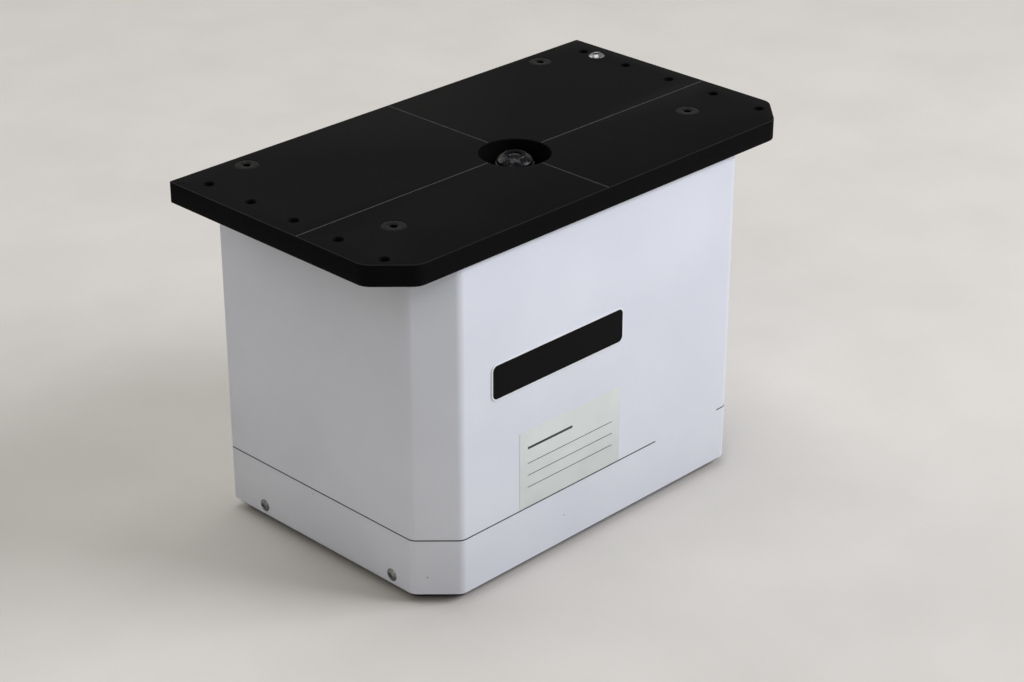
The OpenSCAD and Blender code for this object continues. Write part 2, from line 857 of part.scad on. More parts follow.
// Gear bracket, shafts and knob
module gear_bracket() {
    z0 = knob_z - bracket_edge;
    z1 = drive_z + bracket_edge;
    color("#8f9196")
        difference() {
            union() {
                block([bracket_x0, column_y - bracket_flange, z0], [bracket_x1, column_y, z1]);
                for (x = [bracket_x0, bracket_x1 - bracket_plate])
                    block([x, drive_y - bracket_edge, z0], [x + bracket_plate, column_y, z1]);
            }
            for (z = [knob_z, drive_z])
                bar_x(shaft_bush_d + 2 * fit, bracket_x0 - cut, bracket_x1 + cut, drive_y, z);
            at_bracket()
                flat_screw_hole(m3_d, m3_head, bracket_screw_l);
        }
}
module bracket_screws() {
    color("#3a3b3f")
        at_bracket()
            flat_screw(m3_d, m3_head, bracket_screw_l);
}
module bracket_bushes() {
    color("#b08d57")
        difference() {
            for (x = [bracket_x0, bracket_x1 - bracket_plate], z = [knob_z, drive_z])
                bar_x(shaft_bush_d, x, x + bracket_plate, drive_y, z);
            for (z = [knob_z, drive_z])
                bar_x(shaft_d + 2 * run, bracket_x0 - cut, bracket_x1 + cut, drive_y, z);
        }
}
module drive_shaft() {
    color("#c9cbce")
        bar_x(shaft_d, carriage_x + 2 * seat_gap, bracket_x1 + cut, drive_y, drive_z);
}
module rack_pinion() {
    color("#b08d57")
        difference() {
            profile_x(gear_points(rack_pinion_teeth, rack_module, 180 / rack_pinion_teeth),
                carriage_x + 2 * seat_gap, rack_w - 2 * seat_gap, drive_y, drive_z);
            bar_x(shaft_d + 2 * fit, carriage_x - cut, carriage_x + rack_w + cut, drive_y, drive_z);
        }
}
module reduction_gear() {
    color("#b08d57")
        difference() {
            union() {
                profile_x(gear_points(gear_teeth, gear_module, -90), gear_x, gear_w, drive_y, drive_z);
                bar_x(shaft_d + 2 * gear_hub, gear_x, bracket_x1 - bracket_plate - seat_gap,
                    drive_y, drive_z);
            }
            bar_x(shaft_d + 2 * fit, gear_x - cut, bracket_x1, drive_y, drive_z);
        }
}
module knob_shaft() {
    color("#c9cbce")
        bar_x(shaft_d, bracket_x0 - cut, knob_x + knob_l - knob_face - fit, knob_y, knob_z);
}
module knob_pinion() {
    color("#c9cbce")
        difference() {
            profile_x(gear_points(pinion_teeth, gear_module, 90 + 180 / pinion_teeth),
                gear_x - seat_gap, gear_w + 2 * seat_gap, knob_y, knob_z);
            bar_x(shaft_d + 2 * fit, gear_x - cut, gear_x + gear_w + cut, knob_y, knob_z);
        }
}
module wall_bush() {
    color("#b08d57")
        difference() {
            union() {
                bar_x(wall_bush_d, inner_x - play, cover_x, knob_y, knob_z);
                bar_x(wall_flange_d, cover_x, cover_x + wall_flange_t, knob_y, knob_z);
            }
            bar_x(shaft_d + 2 * run, inner_x - play - cut, cover_x + wall_flange_t + cut, knob_y, knob_z);
        }
}
module at_knob_screw() {
    translate([knob_screw_x, knob_y, knob_z])
        children();
}
module focus_knob() {
    color("#2a2b2e")
        difference() {
            profile_x(flutes(knob_d, knob_flutes, flute_depth), knob_x, knob_l, knob_y, knob_z);
            bar_x(shaft_d + 2 * fit, knob_x - cut, knob_x + knob_l - knob_face, knob_y, knob_z);
            at_knob_screw()
                cylinder(d = m3_d + 2 * fit, h = knob_d);
        }
}
module knob_screw() {
    color("#3a3b3f")
        at_knob_screw()
            translate([0, 0, shaft_d / 2 + fit])
                difference() {
                    cylinder(d = m3_d, h = knob_screw_l);
                    translate([0, 0, knob_screw_l / 2])
                        cylinder(d = knob_screw_drive, h = knob_screw_l, $fn = 6);
                }
}

// Objective
module at_shoulder() {
    translate([0, axis_y, shoulder_z])
        children();
}
module objective_barrel() {
    color("#c4c6c9")
        at_shoulder()
            difference() {
                union() {
                    cylinder(d = objective_d, h = barrel_h);
                    translate([0, 0, -thread_l])
                        cylinder(d = thread_d, h = thread_l);
                }
                translate([0, 0, -thread_l - cut])
                    cylinder(d = nose_bore_d, h = barrel_h + thread_l + 2 * cut);
            }
}
module objective_grip() {
    color("#2a2b2e")
        at_shoulder()
            translate([0, 0, grip_z])
                linear_extrude(grip_h)
                    difference() {
                        polygon(flutes(objective_d + 2 * grip_t, grip_ribs, grip_flute));
                        circle(d = objective_d + 2 * fit);
                    }
}
module objective_nose() {
    tip = objective_l;
    waist = tip - nose_waist_below;
    seat = tip - front_lens_t - front_lens_recess;
    profile = [[nose_bore_d / 2, barrel_h], [nose_root_d / 2, barrel_h], [nose_waist_d / 2, waist],
        [tip_d / 2, tip], [front_lens_d / 2 + fit, tip], [front_lens_d / 2 + fit, seat],
        [front_lens_d / 2 - front_lens_ledge, seat], [nose_bore_d / 2, waist - nose_waist_below]];
    color("#c4c6c9")
        at_shoulder()
            rotate_extrude()
                polygon(profile);
}
module objective_lens() {
    color("#a9c4d8")
        at_shoulder()
            translate([0, 0, objective_l - front_lens_t - front_lens_recess])
                cylinder(d = front_lens_d, h = front_lens_t);
}

// Optical housings: an open-fronted box round a light path that turns at its middle
module optic_shell(z) {
    difference() {
        block([-box_half, axis_y - box_half, z - box_half], [box_half, axis_y + box_half, z + box_half]);
        block([-cavity_half, axis_y - box_half - cut, z - cavity_half],
            [cavity_half, axis_y + cavity_half, z + cavity_half]);
    }
}
module tilted_plate(thickness, z, tilt) {
    long = 2 * (cavity_half * sqrt(2) - seat_gap) - thickness;
    wide = box_half + cavity_half - 2 * fit;
    translate([0, axis_y - optic_wall / 2, z])
        rotate([0, tilt, 0])
            cube([long, wide, thickness], center = true);
}
module filter_block() {
    color("#2d2e31")
        difference() {
            optic_shell(block_z);
            translate([0, axis_y, block_bottom - cut])
                cylinder(d = aperture_d, h = optic_box + 2 * cut);
            translate([0, axis_y, block_bottom + filter_ledge])
                cylinder(d = filter_d + 2 * fit, h = filter_t + cut);
            bar_x(aperture_d, -box_half - cut, 0, axis_y, block_z);
            bar_x(filter_d + 2 * fit, filter_ledge - box_half, cut - cavity_half, axis_y, block_z);
            at_lids()
                screw_hole(small_screw_d, lid_t + small_screw_l);
        }
}
module optic_lids() {
    color("#2d2e31")
        difference() {
            for (z = [fold_z, block_z])
                block([-box_half, axis_y - box_half - lid_t, z - box_half],
                    [box_half, axis_y - box_half, z + box_half]);
            at_lids()
                screw_hole(small_screw_d, lid_t + small_screw_l);
        }
}
module lid_screws() {
    color("#d8d8d6") {
        at_lids()
            button_screw(small_screw_d, optic_wall - fit, lid_t + small_screw_l);
        at_sensor_board()
            button_screw(small_screw_d, optic_wall - fit, board_t + small_screw_l);
    }
}
module dichroic_mirror() {
    color("#c99a4a")
        tilted_plate(dichroic_t, block_z, -45);
}
module excitation_filter() {
    color("#3f6fae")
        bar_x(filter_d, filter_ledge - box_half, -cavity_half, axis_y, block_z);
}
module emission_filter() {
    color("#5f9a6a")
        translate([0, axis_y, block_bottom + filter_ledge])
            cylinder(d = filter_d, h = filter_t);
}
module mirror_housing() {
    color("#2d2e31")
        difference() {
            optic_shell(fold_z);
            translate([0, axis_y, fold_z])
                cylinder(d = aperture_d, h = box_half + cut);
            bar_x(aperture_d, 0, box_half + cut, axis_y, fold_z);
            at_lids()
                screw_hole(small_screw_d, lid_t + small_screw_l);
            at_optic_feet()
                flat_screw_hole(m3_d, m3_head, optic_screw_l);
        }
}
module fold_mirror() {
    color("#b8c4cc")
        tilted_plate(fold_mirror_t, fold_z, 45);
}

// Tube lens between the two housings
module tube_lens_cell() {
    color("#2d2e31")
        translate([0, axis_y, fold_top])
            difference() {
                cylinder(d = aperture_d + 2 * cell_wall, h = block_bottom - fold_top);
                translate([0, 0, -cut])
                    cylinder(d = aperture_d, h = block_bottom - fold_top + 2 * cut);
            }
}
module lens(d, thickness) {
    bulge = thickness / 4;
    rotate_extrude()
        polygon(concat([[0, 0]], [[d / 2, 0]], [for (p = dome(d / 2, bulge)) p + [0, thickness - bulge]]));
}
module tube_lens() {
    color("#a9c4d8")
        translate([0, axis_y, (fold_top + block_bottom - tube_lens_t) / 2])
            lens(aperture_d - 2 * fit, tube_lens_t);
}

// Camera
module camera_body() {
    color("#26272a")
        difference() {
            union() {
                bar_x(aperture_d + 2 * cell_wall, box_half, camera_x + cut, axis_y, fold_z);
                block([camera_x, axis_y - box_half, base_top], [sensor_x, axis_y + box_half, fold_top]);
            }
            bar_x(aperture_d, box_half - cut, sensor_x, axis_y, fold_z);
            block([camera_x + optic_wall, axis_y - cavity_half, fold_z - cavity_half],
                [sensor_x + cut, axis_y + cavity_half, fold_z + cavity_half]);
            at_sensor_board()
                screw_hole(small_screw_d, board_t + small_screw_l);
            at_optic_feet()
                flat_screw_hole(m3_d, m3_head, optic_screw_l);
        }
}
module sensor_board() {
    color("#2f6b45")
        difference() {
            union() {
                block([sensor_x, axis_y - box_half, base_top + seat_gap],
                    [sensor_x + board_t, axis_y + box_half, fold_top]);
                block([sensor_x - sensor_t, axis_y - sensor_w / 2, fold_z - sensor_h / 2],
                    [sensor_x + cut, axis_y + sensor_w / 2, fold_z + sensor_h / 2]);
                block([sensor_x, camera_plug.y - plug_w / 2, fold_z - plug_h / 2],
                    [camera_plug.x, camera_plug.y + plug_w / 2, fold_z + plug_h / 2]);
            }
            at_sensor_board()
                screw_hole(small_screw_d, board_t + small_screw_l);
        }
}
module optic_base_screws() {
    color("#3a3b3f")
        at_optic_feet()
            flat_screw(m3_d, m3_head, optic_screw_l);
}

// Light source
module led_mount() {
    color("#8f9196")
        difference() {
            block([led_mount_x, axis_y - box_half, base_top], [tube_x, axis_y + box_half, block_top]);
            bar_x(filter_d, led_mount_x - cut, tube_x + cut, axis_y, block_z);
            at_led_corners()
                screw_hole(small_screw_d, led_screw_l);
            at_optic_feet()
                flat_screw_hole(m3_d, m3_head, optic_screw_l);
        }
}
module led_board() {
    color("#f0efe8")
        difference() {
            union() {
                block([led_board_x, axis_y - box_half, block_bottom],
                    [led_mount_x, axis_y + box_half + led_tail, block_top]);
                for (a = emitter_angles)
                    bar_x(emitter_d, led_mount_x - cut, led_mount_x + emitter_h,
                        axis_y + emitter_ring * cos(a), block_z + emitter_ring * sin(a));
                block([led_board_x, led_plug.y - plug_w, block_z - plug_h / 2],
                    [led_mount_x + plug_t, led_plug.y, block_z + plug_h / 2]);
            }
            at_led_corners()
                screw_hole(small_screw_d, led_screw_l);
        }
}
module led_screws() {
    color("#d8d8d6")
        at_led_corners()
            button_screw(small_screw_d, small_screw_head, led_screw_l);
}
module heat_sink() {
    fin_step = (optic_box - fin_t) / (fin_count - 1);
    color("#b9bbbf")
        difference() {
            union() {
                block([led_board_x - heat_sink_base, axis_y - box_half, block_bottom],
                    [led_board_x, axis_y + box_half, block_top]);
                for (i = [0 : fin_count - 1])
                    block([heat_sink_x, axis_y - box_half + i * fin_step, block_bottom],
                        [led_board_x - cut, axis_y - box_half + i * fin_step + fin_t, block_top]);
            }
            at_led_corners()
                screw_hole(small_screw_d, led_screw_l);
        }
}
module collimator_tube() {
    color("#2d2e31")
        difference() {
            bar_x(filter_d + 2 * tube_wall, tube_x, -box_half, axis_y, block_z);
            bar_x(filter_d, tube_x - cut, cut - box_half, axis_y, block_z);
        }
}
module collimator_lens() {
    color("#a9c4d8")
        translate([tube_x + play, axis_y, block_z])
            rotate([0, 90, 0])
                lens(filter_d - 2 * fit, collimator_lens_t);
}

// Control board on the rear panel
module control_board() {
    color("#2f6b45")
        difference() {
            block([-board_w / 2, board_y, board_z], [board_w / 2, board_y + board_t, board_z + board_h]);
            for (x = [-standoff_x, standoff_x], z = standoff_zs)
                translate([x, board_y - cut, z])
                    rotate([-90, 0, 0])
                        cylinder(d = m3_d + 2 * fit, h = board_t + 2 * cut);
        }
}
module board_chips() {
    color("#232427") {
        for (c = chips)
            block([c[0] - c[2] / 2, board_y - c[4], board_z + c[1] - c[3] / 2],
                [c[0] + c[2] / 2, board_y, board_z + c[1] + c[3] / 2]);
        for (p = [led_board_plug, camera_board_plug])
            block([p.x - plug_w / 2, p.y, p.z - plug_h / 2],
                [p.x + plug_w / 2, board_y, p.z + plug_h / 2]);
    }
}
module board_standoffs() {
    color("#c9cbce")
        difference() {
            for (x = [-standoff_x, standoff_x], z = standoff_zs)
                translate([x, board_y, z])
                    rotate([-90, 0, 0]) {
                        translate([0, 0, board_t])
                            cylinder(d = standoff_d, h = board_gap);
                        translate([0, 0, -standoff_head_t / 2])
                            cylinder(d = m3_d, h = board_t + standoff_head_t);
                        translate([0, 0, -standoff_head_t])
                            cylinder(d = standoff_head_d, h = standoff_head_t);
                    }
            at_rear()
                flat_screw_hole(m3_d, m3_head, rear_screw_l);
        }
}
module usb_socket() {
    y0 = board_y + board_t;
    y1 = cover_y1 + usb_proud;
    color("#c9cbce")
        difference() {
            block([usb_x - usb_w / 2, y0, usb_z - usb_h / 2], [usb_x + usb_w / 2, y1, usb_z + usb_h / 2]);
            difference() {
                block([usb_x - usb_w / 2 + usb_wall, y1 - usb_depth, usb_z - usb_h / 2 + usb_wall],
                    [usb_x + usb_w / 2 - usb_wall, y1 + cut, usb_z + usb_h / 2 - usb_wall]);
                block([usb_x - tongue_w / 2, y1 - usb_depth - cut, usb_z - tongue_h / 2],
                    [usb_x + tongue_w / 2, y1 - tongue_back, usb_z + tongue_h / 2]);
            }
        }
}

// Internal leads
module led_cable() {
    color("#2a2b2e")
        lead(led_plug, led_handles[0], led_board_plug, led_handles[1]);
}
module camera_cable() {
    color("#2a2b2e")
        lead(camera_plug, camera_handles[0], camera_board_plug, camera_handles[1]);
}

stage_plate();
stage_screws();
corner_screw();
wrap_cover();
cover_screws();
rear_panel();
rear_screws();
base_plate();
pillars();
pillar_screws();
rubber_feet();
name_plate();
paper_label();
focus_column();
column_screws();
guide_rods();
focus_carriage();
carriage_bushes();
focus_rack();
rack_screws();
gear_bracket();
bracket_screws();
bracket_bushes();
drive_shaft();
rack_pinion();
reduction_gear();
knob_shaft();
knob_pinion();
wall_bush();
focus_knob();
knob_screw();
objective_barrel();
objective_grip();
objective_nose();
objective_lens();
filter_block();
optic_lids();
lid_screws();
dichroic_mirror();
excitation_filter();
emission_filter();
led_mount();
led_board();
led_screws();
heat_sink();
collimator_tube();
collimator_lens();
tube_lens_cell();
tube_lens();
mirror_housing();
fold_mirror();
camera_body();
sensor_board();
optic_base_screws();
control_board();
board_chips();
board_standoffs();
usb_socket();
led_cable();
camera_cable();
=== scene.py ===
import bpy
import bmesh
import math
from mathutils import Matrix, Vector


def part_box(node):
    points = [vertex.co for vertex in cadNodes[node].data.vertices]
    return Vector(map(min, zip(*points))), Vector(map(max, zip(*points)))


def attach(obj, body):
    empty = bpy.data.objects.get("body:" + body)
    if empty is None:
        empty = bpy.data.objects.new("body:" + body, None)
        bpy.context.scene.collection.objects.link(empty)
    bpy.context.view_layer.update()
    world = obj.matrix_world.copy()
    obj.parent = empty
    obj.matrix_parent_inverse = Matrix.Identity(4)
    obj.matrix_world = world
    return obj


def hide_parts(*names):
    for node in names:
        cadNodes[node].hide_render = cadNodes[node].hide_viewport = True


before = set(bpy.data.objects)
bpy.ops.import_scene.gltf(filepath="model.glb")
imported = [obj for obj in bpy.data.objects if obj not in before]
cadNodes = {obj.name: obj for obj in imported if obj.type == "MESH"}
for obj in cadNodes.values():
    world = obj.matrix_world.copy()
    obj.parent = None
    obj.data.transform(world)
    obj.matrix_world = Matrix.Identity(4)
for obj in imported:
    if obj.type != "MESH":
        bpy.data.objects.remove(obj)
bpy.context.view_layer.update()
mm = 0.001
print("frame loaded:", len(cadNodes), "nodes")


# colours are written as sRGB hex and turned to linear here
def linear(hexColour):
    channels = [int(hexColour[i:i + 2], 16) / 255 for i in (1, 3, 5)]
    return tuple(c / 12.92 if c <= 0.04045 else ((c + 0.055) / 1.055) ** 2.4 for c in channels) + (1.0,)


# links the inputs of a node to (node, output) pairs
def link(tree, node, pairs):
    for key, (source, output) in pairs.items():
        tree.links.new(source.outputs[output], node.inputs[key])


# adds one node, sets its properties or sockets, and links its inputs
def addNode(tree, kind, settings=None, links=None):
    node = tree.nodes.new(kind)
    for key, value in (settings or {}).items():
        if isinstance(key, str) and hasattr(node, key):
            setattr(node, key, value)
        else:
            node.inputs[key].default_value = value
    link(tree, node, links or {})
    return node


# a material with its shader and output; object coordinates are the part's own frame, in metres
def startMaterial(name, settings):
    material = bpy.data.materials.new(name)
    material.use_nodes = True
    tree = material.node_tree
    tree.nodes.clear()
    shader = addNode(tree, "ShaderNodeBsdfPrincipled", settings)
    addNode(tree, "ShaderNodeOutputMaterial", links={"Surface": (shader, "BSDF")})
    place = addNode(tree, "ShaderNodeTexCoord")
    return material, tree, shader, place


# camera, solved from the straight edges of the stage and the housing
view = {"place": (-654.97, -655.56, 528.48), "azimuth": -45.43, "elevation": 26.46,
        "focalPixels": 2432.7, "imageWidth": 1024, "sensor": 36.0, "clip": (0.01, 50)}
camera = bpy.data.objects.new("camera", bpy.data.cameras.new("camera"))
bpy.context.scene.collection.objects.link(camera)
camera.data.sensor_width = view["sensor"]
camera.data.lens = view["sensor"] * view["focalPixels"] / view["imageWidth"]
camera.data.clip_start, camera.data.clip_end = view["clip"]
turn, tilt = math.radians(view["azimuth"]), math.radians(view["elevation"])
forward = Vector((-math.sin(turn) * math.cos(tilt), math.cos(turn) * math.cos(tilt), -math.sin(tilt)))
camera.location = Vector(view["place"]) * mm
camera.rotation_euler = forward.to_track_quat("-Z", "Y").to_euler()
bpy.context.scene.camera = camera
bpy.context.scene.view_settings.view_transform = "Standard"

# soft studio light: a large key in front on the right, a weak fill on the left, one overhead, one behind
lamps = {
    "keyLamp": {"place": (1.2, -1.4, 1.3), "size": 1.2, "power": 42, "colour": "#f4f6ff"},
    "fillLamp": {"place": (-1.7, -0.6, 1.4), "size": 1.4, "power": 8, "colour": "#fbf7f0"},
    "topLamp": {"place": (0.2, 0.3, 2.1), "size": 1.2, "power": 14, "colour": "#ffffff"},
    "backLamp": {"place": (-0.3, 1.8, 1.5), "size": 1.4, "power": 13, "colour": "#ffffff"},
}
aim = Vector((0, 0, 0.09))
for name, lamp in lamps.items():
    light = bpy.data.lights.new(name, "AREA")
    light.size, light.energy, light.color = lamp["size"], lamp["power"], linear(lamp["colour"])[:3]
    lampObject = bpy.data.objects.new(name, light)
    lampObject.location = lamp["place"]
    lampObject.rotation_euler = (aim - lampObject.location).to_track_quat("-Z", "Y").to_euler()
    bpy.context.scene.collection.objects.link(lampObject)

# the room: one colour for the light it gives, another where it is seen, mirrored or looked through
room = {"light": "#8f9092", "seen": "#bdbab4", "strength": 0.55}
world = bpy.data.worlds.new("studio")
bpy.context.scene.world = world
world.use_nodes = True
tree = world.node_tree
tree.nodes.clear()
rays = addNode(tree, "ShaderNodeLightPath")
roomLight = addNode(tree, "ShaderNodeBackground",
                    {"Color": linear(room["light"]), "Strength": room["strength"]})
roomSeen = addNode(tree, "ShaderNodeBackground", {"Color": linear(room["seen"])})
straight = addNode(tree, "ShaderNodeMath", {"operation": "MAXIMUM"},
                   {0: (rays, "Is Camera Ray"), 1: (rays, "Is Transmission Ray")})
direct = addNode(tree, "ShaderNodeMath", {"operation": "MAXIMUM"},
                 {0: (straight, 0), 1: (rays, "Is Glossy Ray")})
roomMix = addNode(tree, "ShaderNodeMixShader", links={
    0: (direct, 0), 1: (roomLight, "Background"), 2: (roomSeen, "Background")})
addNode(tree, "ShaderNodeOutputWorld", links={"Surface": (roomMix, "Shader")})
print("camera and light set")


# mesh helpers, all in millimetres until a piece is finished
def corner(a, b, c, radius, steps):
    u, v = (a - b).normalized(), (c - b).normalized()
    half = u.angle(v) / 2
    middle = b + (u + v).normalized() * radius / math.sin(half)
    first = b + u * radius / math.tan(half) - middle
    last = b + v * radius / math.tan(half) - middle
    sweep = math.atan2(first.x * last.y - first.y * last.x, first.dot(last))
    start = math.atan2(first.y, first.x)
    angles = [start + sweep * k / steps for k in range(steps + 1)]
    return [middle + radius * Vector((math.cos(a), math.sin(a))) for a in angles]


def roundedOutline(points, radii, steps):
    points = [Vector(p) for p in points]
    found = []
    for i, b in enumerate(points):
        a, c = points[i - 1], points[(i + 1) % len(points)]
        found += corner(a, b, c, radii[i], steps) if radii[i] else [b]
    return found


def rectangle(width, height, radius, x, y, steps=6):
    w, h = width / 2, height / 2
    points = [(x - w, y - h), (x + w, y - h), (x + w, y + h), (x - w, y + h)]
    return roundedOutline(points, [radius] * 4, steps)


# the least cosine that a mitred corner is moved by, so that sharp ones do not run away
mitreLimit = 0.2


# moves a counter-clockwise outline inwards
def insetOutline(outline, distance):
    moved = []
    for i, p in enumerate(outline):
        into = (p - outline[i - 1]).normalized()
        out = (outline[(i + 1) % len(outline)] - p).normalized()
        n0, n1 = Vector((-into.y, into.x)), Vector((-out.y, out.x))
        m = (n0 + n1).normalized()
        moved.append(p + m * distance / max(m.dot(n0), mitreLimit))
    return moved


def circle(radius, steps, x=0.0, y=0.0):
    angles = [2 * math.pi * k / steps for k in range(steps)]
    return [Vector((x + radius * math.cos(a), y + radius * math.sin(a))) for a in angles]


# points spread round a hexagon, so that it can be joined to a circle of as many points
def hexagon(across, steps):
    found = []
    for k in range(steps):
        a = 2 * math.pi * k / steps
        reach = across / 2 / math.cos(a % (math.pi / 3) - math.pi / 6)
        found.append(Vector((reach * math.cos(a), reach * math.sin(a))))
    return found


def ring(bm, outline, z):
    return [bm.verts.new((p.x, p.y, z)) for p in outline]


def join(bm, a, b, material=0):
    n = len(a)
    for i in range(n):
        face = bm.faces.new((a[i], a[(i + 1) % n], b[(i + 1) % n], b[i]))
        face.material_index = material


def joinAll(bm, loops, material=0):
    for a, b in zip(loops, loops[1:]):
        join(bm, a, b, material)


def edgeLoop(bm, verts):
    pairs = [(v, verts[(i + 1) % len(verts)]) for i, v in enumerate(verts)]
    return [bm.edges.get(pair) or bm.edges.new(pair) for pair in pairs]


def fill(bm, loops):
    edges = [e for loop in loops for e in edgeLoop(bm, loop)]
    bmesh.ops.triangle_fill(bm, use_beauty=True, use_dissolve=False, edges=edges)


# a softened edge has one point between its ends, this share of the edge from each face
edgeShare = 0.29
# the upright band of a softened wall starts at this ring
upright = 2


# rings of a wall between two heights, with both its edges softened
def softWall(bm, outline, low, high, edge):
    near = edge * edgeShare
    steps = [(edge, low), (near, low + near), (0, low + edge),
             (0, high - edge), (near, high - near), (edge, high)]
    return [ring(bm, insetOutline(outline, inset), z) for inset, z in steps]


# a flat plate with softened edges; each hole is a list of (outline, height) rings from the top down
def plate(bm, outline, low, high, edge, holes=()):
    walls = softWall(bm, outline, low, high, edge)
    joinAll(bm, walls)
    bores = [[ring(bm, shape, z) for shape, z in rings] for rings in holes]
    for loops in bores:
        joinAll(bm, loops)
    fill(bm, [walls[-1]] + [loops[0] for loops in bores])
    fill(bm, [walls[0]] + [loops[-1] for loops in bores])


# a turned shape: rings of (outline points, height), closed at both ends
def turned(bm, rings, matrix=Matrix()):
    made = [[bm.verts.new(matrix @ Vector((p.x, p.y, z))) for p in outline] for outline, z in rings]
    joinAll(bm, made)
    for end in (made[0], made[-1]):
        bm.faces.new(end)


def pointing(place, direction):
    return Matrix.Translation(Vector(place)) @ Vector(direction).to_track_quat("Z", "Y").to_matrix().to_4x4()


def toMesh(bm, name):
    bmesh.ops.recalc_face_normals(bm, faces=bm.faces)
    bmesh.ops.scale(bm, vec=(mm, mm, mm), verts=bm.verts)
    mesh = bpy.data.meshes.new(name)
    bm.to_mesh(mesh)
    bm.free()
    return mesh


# edges that turn by more than this many degrees stay crisp; points nearer than this many mm are welded
sharpTurn = 32
weld = 1e-4


def shade(mesh, sharp=sharpTurn):
    mesh.shade_smooth()
    mesh.set_sharp_from_angle(angle=math.radians(sharp))


def finishPiece(bm, name, materials, body, replaced=(), sharp=sharpTurn):
    bmesh.ops.remove_doubles(bm, verts=bm.verts, dist=weld)
    mesh = toMesh(bm, name)
    for material in materials:
        mesh.materials.append(material)
    shade(mesh, sharp)
    piece = bpy.data.objects.new(name, mesh)
    bpy.context.scene.collection.objects.link(piece)
    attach(piece, body)
    if replaced:
        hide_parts(*replaced)
    return piece


# powder-coated steel sheet: satin white with a cool cast, faint orange peel and a few tiny chips
chip = {"spacing": 20, "core": 0.25, "rim": 0.4, "shift": (-14.4, 0, 13.2), "colour": "#77787d"}
powderCoat, tree, shader, place = startMaterial("powderCoat", {"IOR": 1.5, "Roughness": 0.42})
peel = addNode(tree, "ShaderNodeTexNoise", {"Scale": 1 / (1.1 * mm), "Detail": 3.0, "Roughness": 0.55},
               {"Vector": (place, "Object")})
cloud = addNode(tree, "ShaderNodeTexNoise", {"Scale": 1 / (55 * mm), "Detail": 4.0},
                {"Vector": (place, "Object")})
tone = addNode(tree, "ShaderNodeValToRGB", links={"Fac": (cloud, "Fac")})
for stop, position, colour in zip(tone.color_ramp.elements, (0.3, 0.7), ("#d6d9e1", "#dee1e8")):
    stop.position, stop.color = position, linear(colour)
gloss = addNode(tree, "ShaderNodeMapRange", {"To Min": 0.36, "To Max": 0.5}, {"Value": (peel, "Fac")})
bump = addNode(tree, "ShaderNodeBump", {"Strength": 0.25, "Distance": 0.02 * mm}, {"Height": (peel, "Fac")})
spread = addNode(tree, "ShaderNodeMapping", {"Location": [d * mm for d in chip["shift"]]},
                 {"Vector": (place, "Object")})
spots = addNode(tree, "ShaderNodeTexVoronoi", {"Scale": 1 / (chip["spacing"] * mm)},
                {"Vector": (spread, "Vector")})
chipped = addNode(tree, "ShaderNodeMapRange",
                  {"From Min": chip["core"] / chip["spacing"], "From Max": chip["rim"] / chip["spacing"],
                   "To Min": 1.0, "To Max": 0.0}, {"Value": (spots, "Distance")})
paint = addNode(tree, "ShaderNodeMix", {"data_type": "RGBA", 7: linear(chip["colour"])},
                {0: (chipped, "Result"), 6: (tone, "Color")})
link(tree, shader, {"Base Color": (paint, 2), "Roughness": (gloss, "Result"), "Normal": (bump, "Normal")})

# black anodised aluminium, bead-blasted: deep matt black, a fine grain and slow patches of sheen
blackAnodised, tree, shader, place = startMaterial("blackAnodised", {"IOR": 1.5, "Specular IOR Level": 0.03})
grain = addNode(tree, "ShaderNodeTexNoise", {"Scale": 1 / (0.5 * mm), "Detail": 2.0},
                {"Vector": (place, "Object")})
patch = addNode(tree, "ShaderNodeTexNoise", {"Scale": 1 / (40 * mm), "Detail": 5.0},
                {"Vector": (place, "Object")})
tone = addNode(tree, "ShaderNodeValToRGB", links={"Fac": (patch, "Fac")})
for stop, position, colour in zip(tone.color_ramp.elements, (0.35, 0.7), ("#09090a", "#0d0d0e")):
    stop.position, stop.color = position, linear(colour)
gloss = addNode(tree, "ShaderNodeMapRange", {"To Min": 0.56, "To Max": 0.66}, {"Value": (patch, "Fac")})
bump = addNode(tree, "ShaderNodeBump", {"Strength": 0.2, "Distance": 0.02 * mm}, {"Height": (grain, "Fac")})
link(tree, shader, {"Base Color": (tone, "Color"), "Roughness": (gloss, "Result"),
                    "Normal": (bump, "Normal")})

# softened edges of the anodised black: a painted highlight, the same black made a little paler than the faces
# so that the edges read as a lit line, and smoother
anodisedEdgeHighlight, tree, shader, place = startMaterial("anodisedEdgeHighlight", {"Specular IOR Level": 0.1})
edgeMottle = addNode(tree, "ShaderNodeTexNoise", {"Scale": 1 / (6 * mm), "Detail": 4.0},
              {"Vector": (place, "Object")})
tone = addNode(tree, "ShaderNodeValToRGB", links={"Fac": (edgeMottle, "Fac")})
for stop, position, colour in zip(tone.color_ramp.elements, (0.35, 0.75), ("#0c0c0d", "#171718")):
    stop.position, stop.color = position, linear(colour)
gloss = addNode(tree, "ShaderNodeMapRange", {"To Min": 0.35, "To Max": 0.55}, {"Value": (edgeMottle, "Fac")})
link(tree, shader, {"Base Color": (tone, "Color"), "Roughness": (gloss, "Result")})

# engraved line: cut through the black into dull grey metal, slightly uneven
engravedLine, tree, shader, place = startMaterial("engravedLine", {"Metallic": 0.3, "Roughness": 0.62})
cutMarks = addNode(tree, "ShaderNodeTexNoise", {"Scale": 1 / (3 * mm), "Detail": 3.0},
                   {"Vector": (place, "Object")})
tone = addNode(tree, "ShaderNodeValToRGB", links={"Fac": (cutMarks, "Fac")})
for stop, position, colour in zip(tone.color_ramp.elements, (0.3, 0.7), ("#2f2f30", "#444443")):
    stop.position, stop.color = position, linear(colour)
link(tree, shader, {"Base Color": (tone, "Color")})


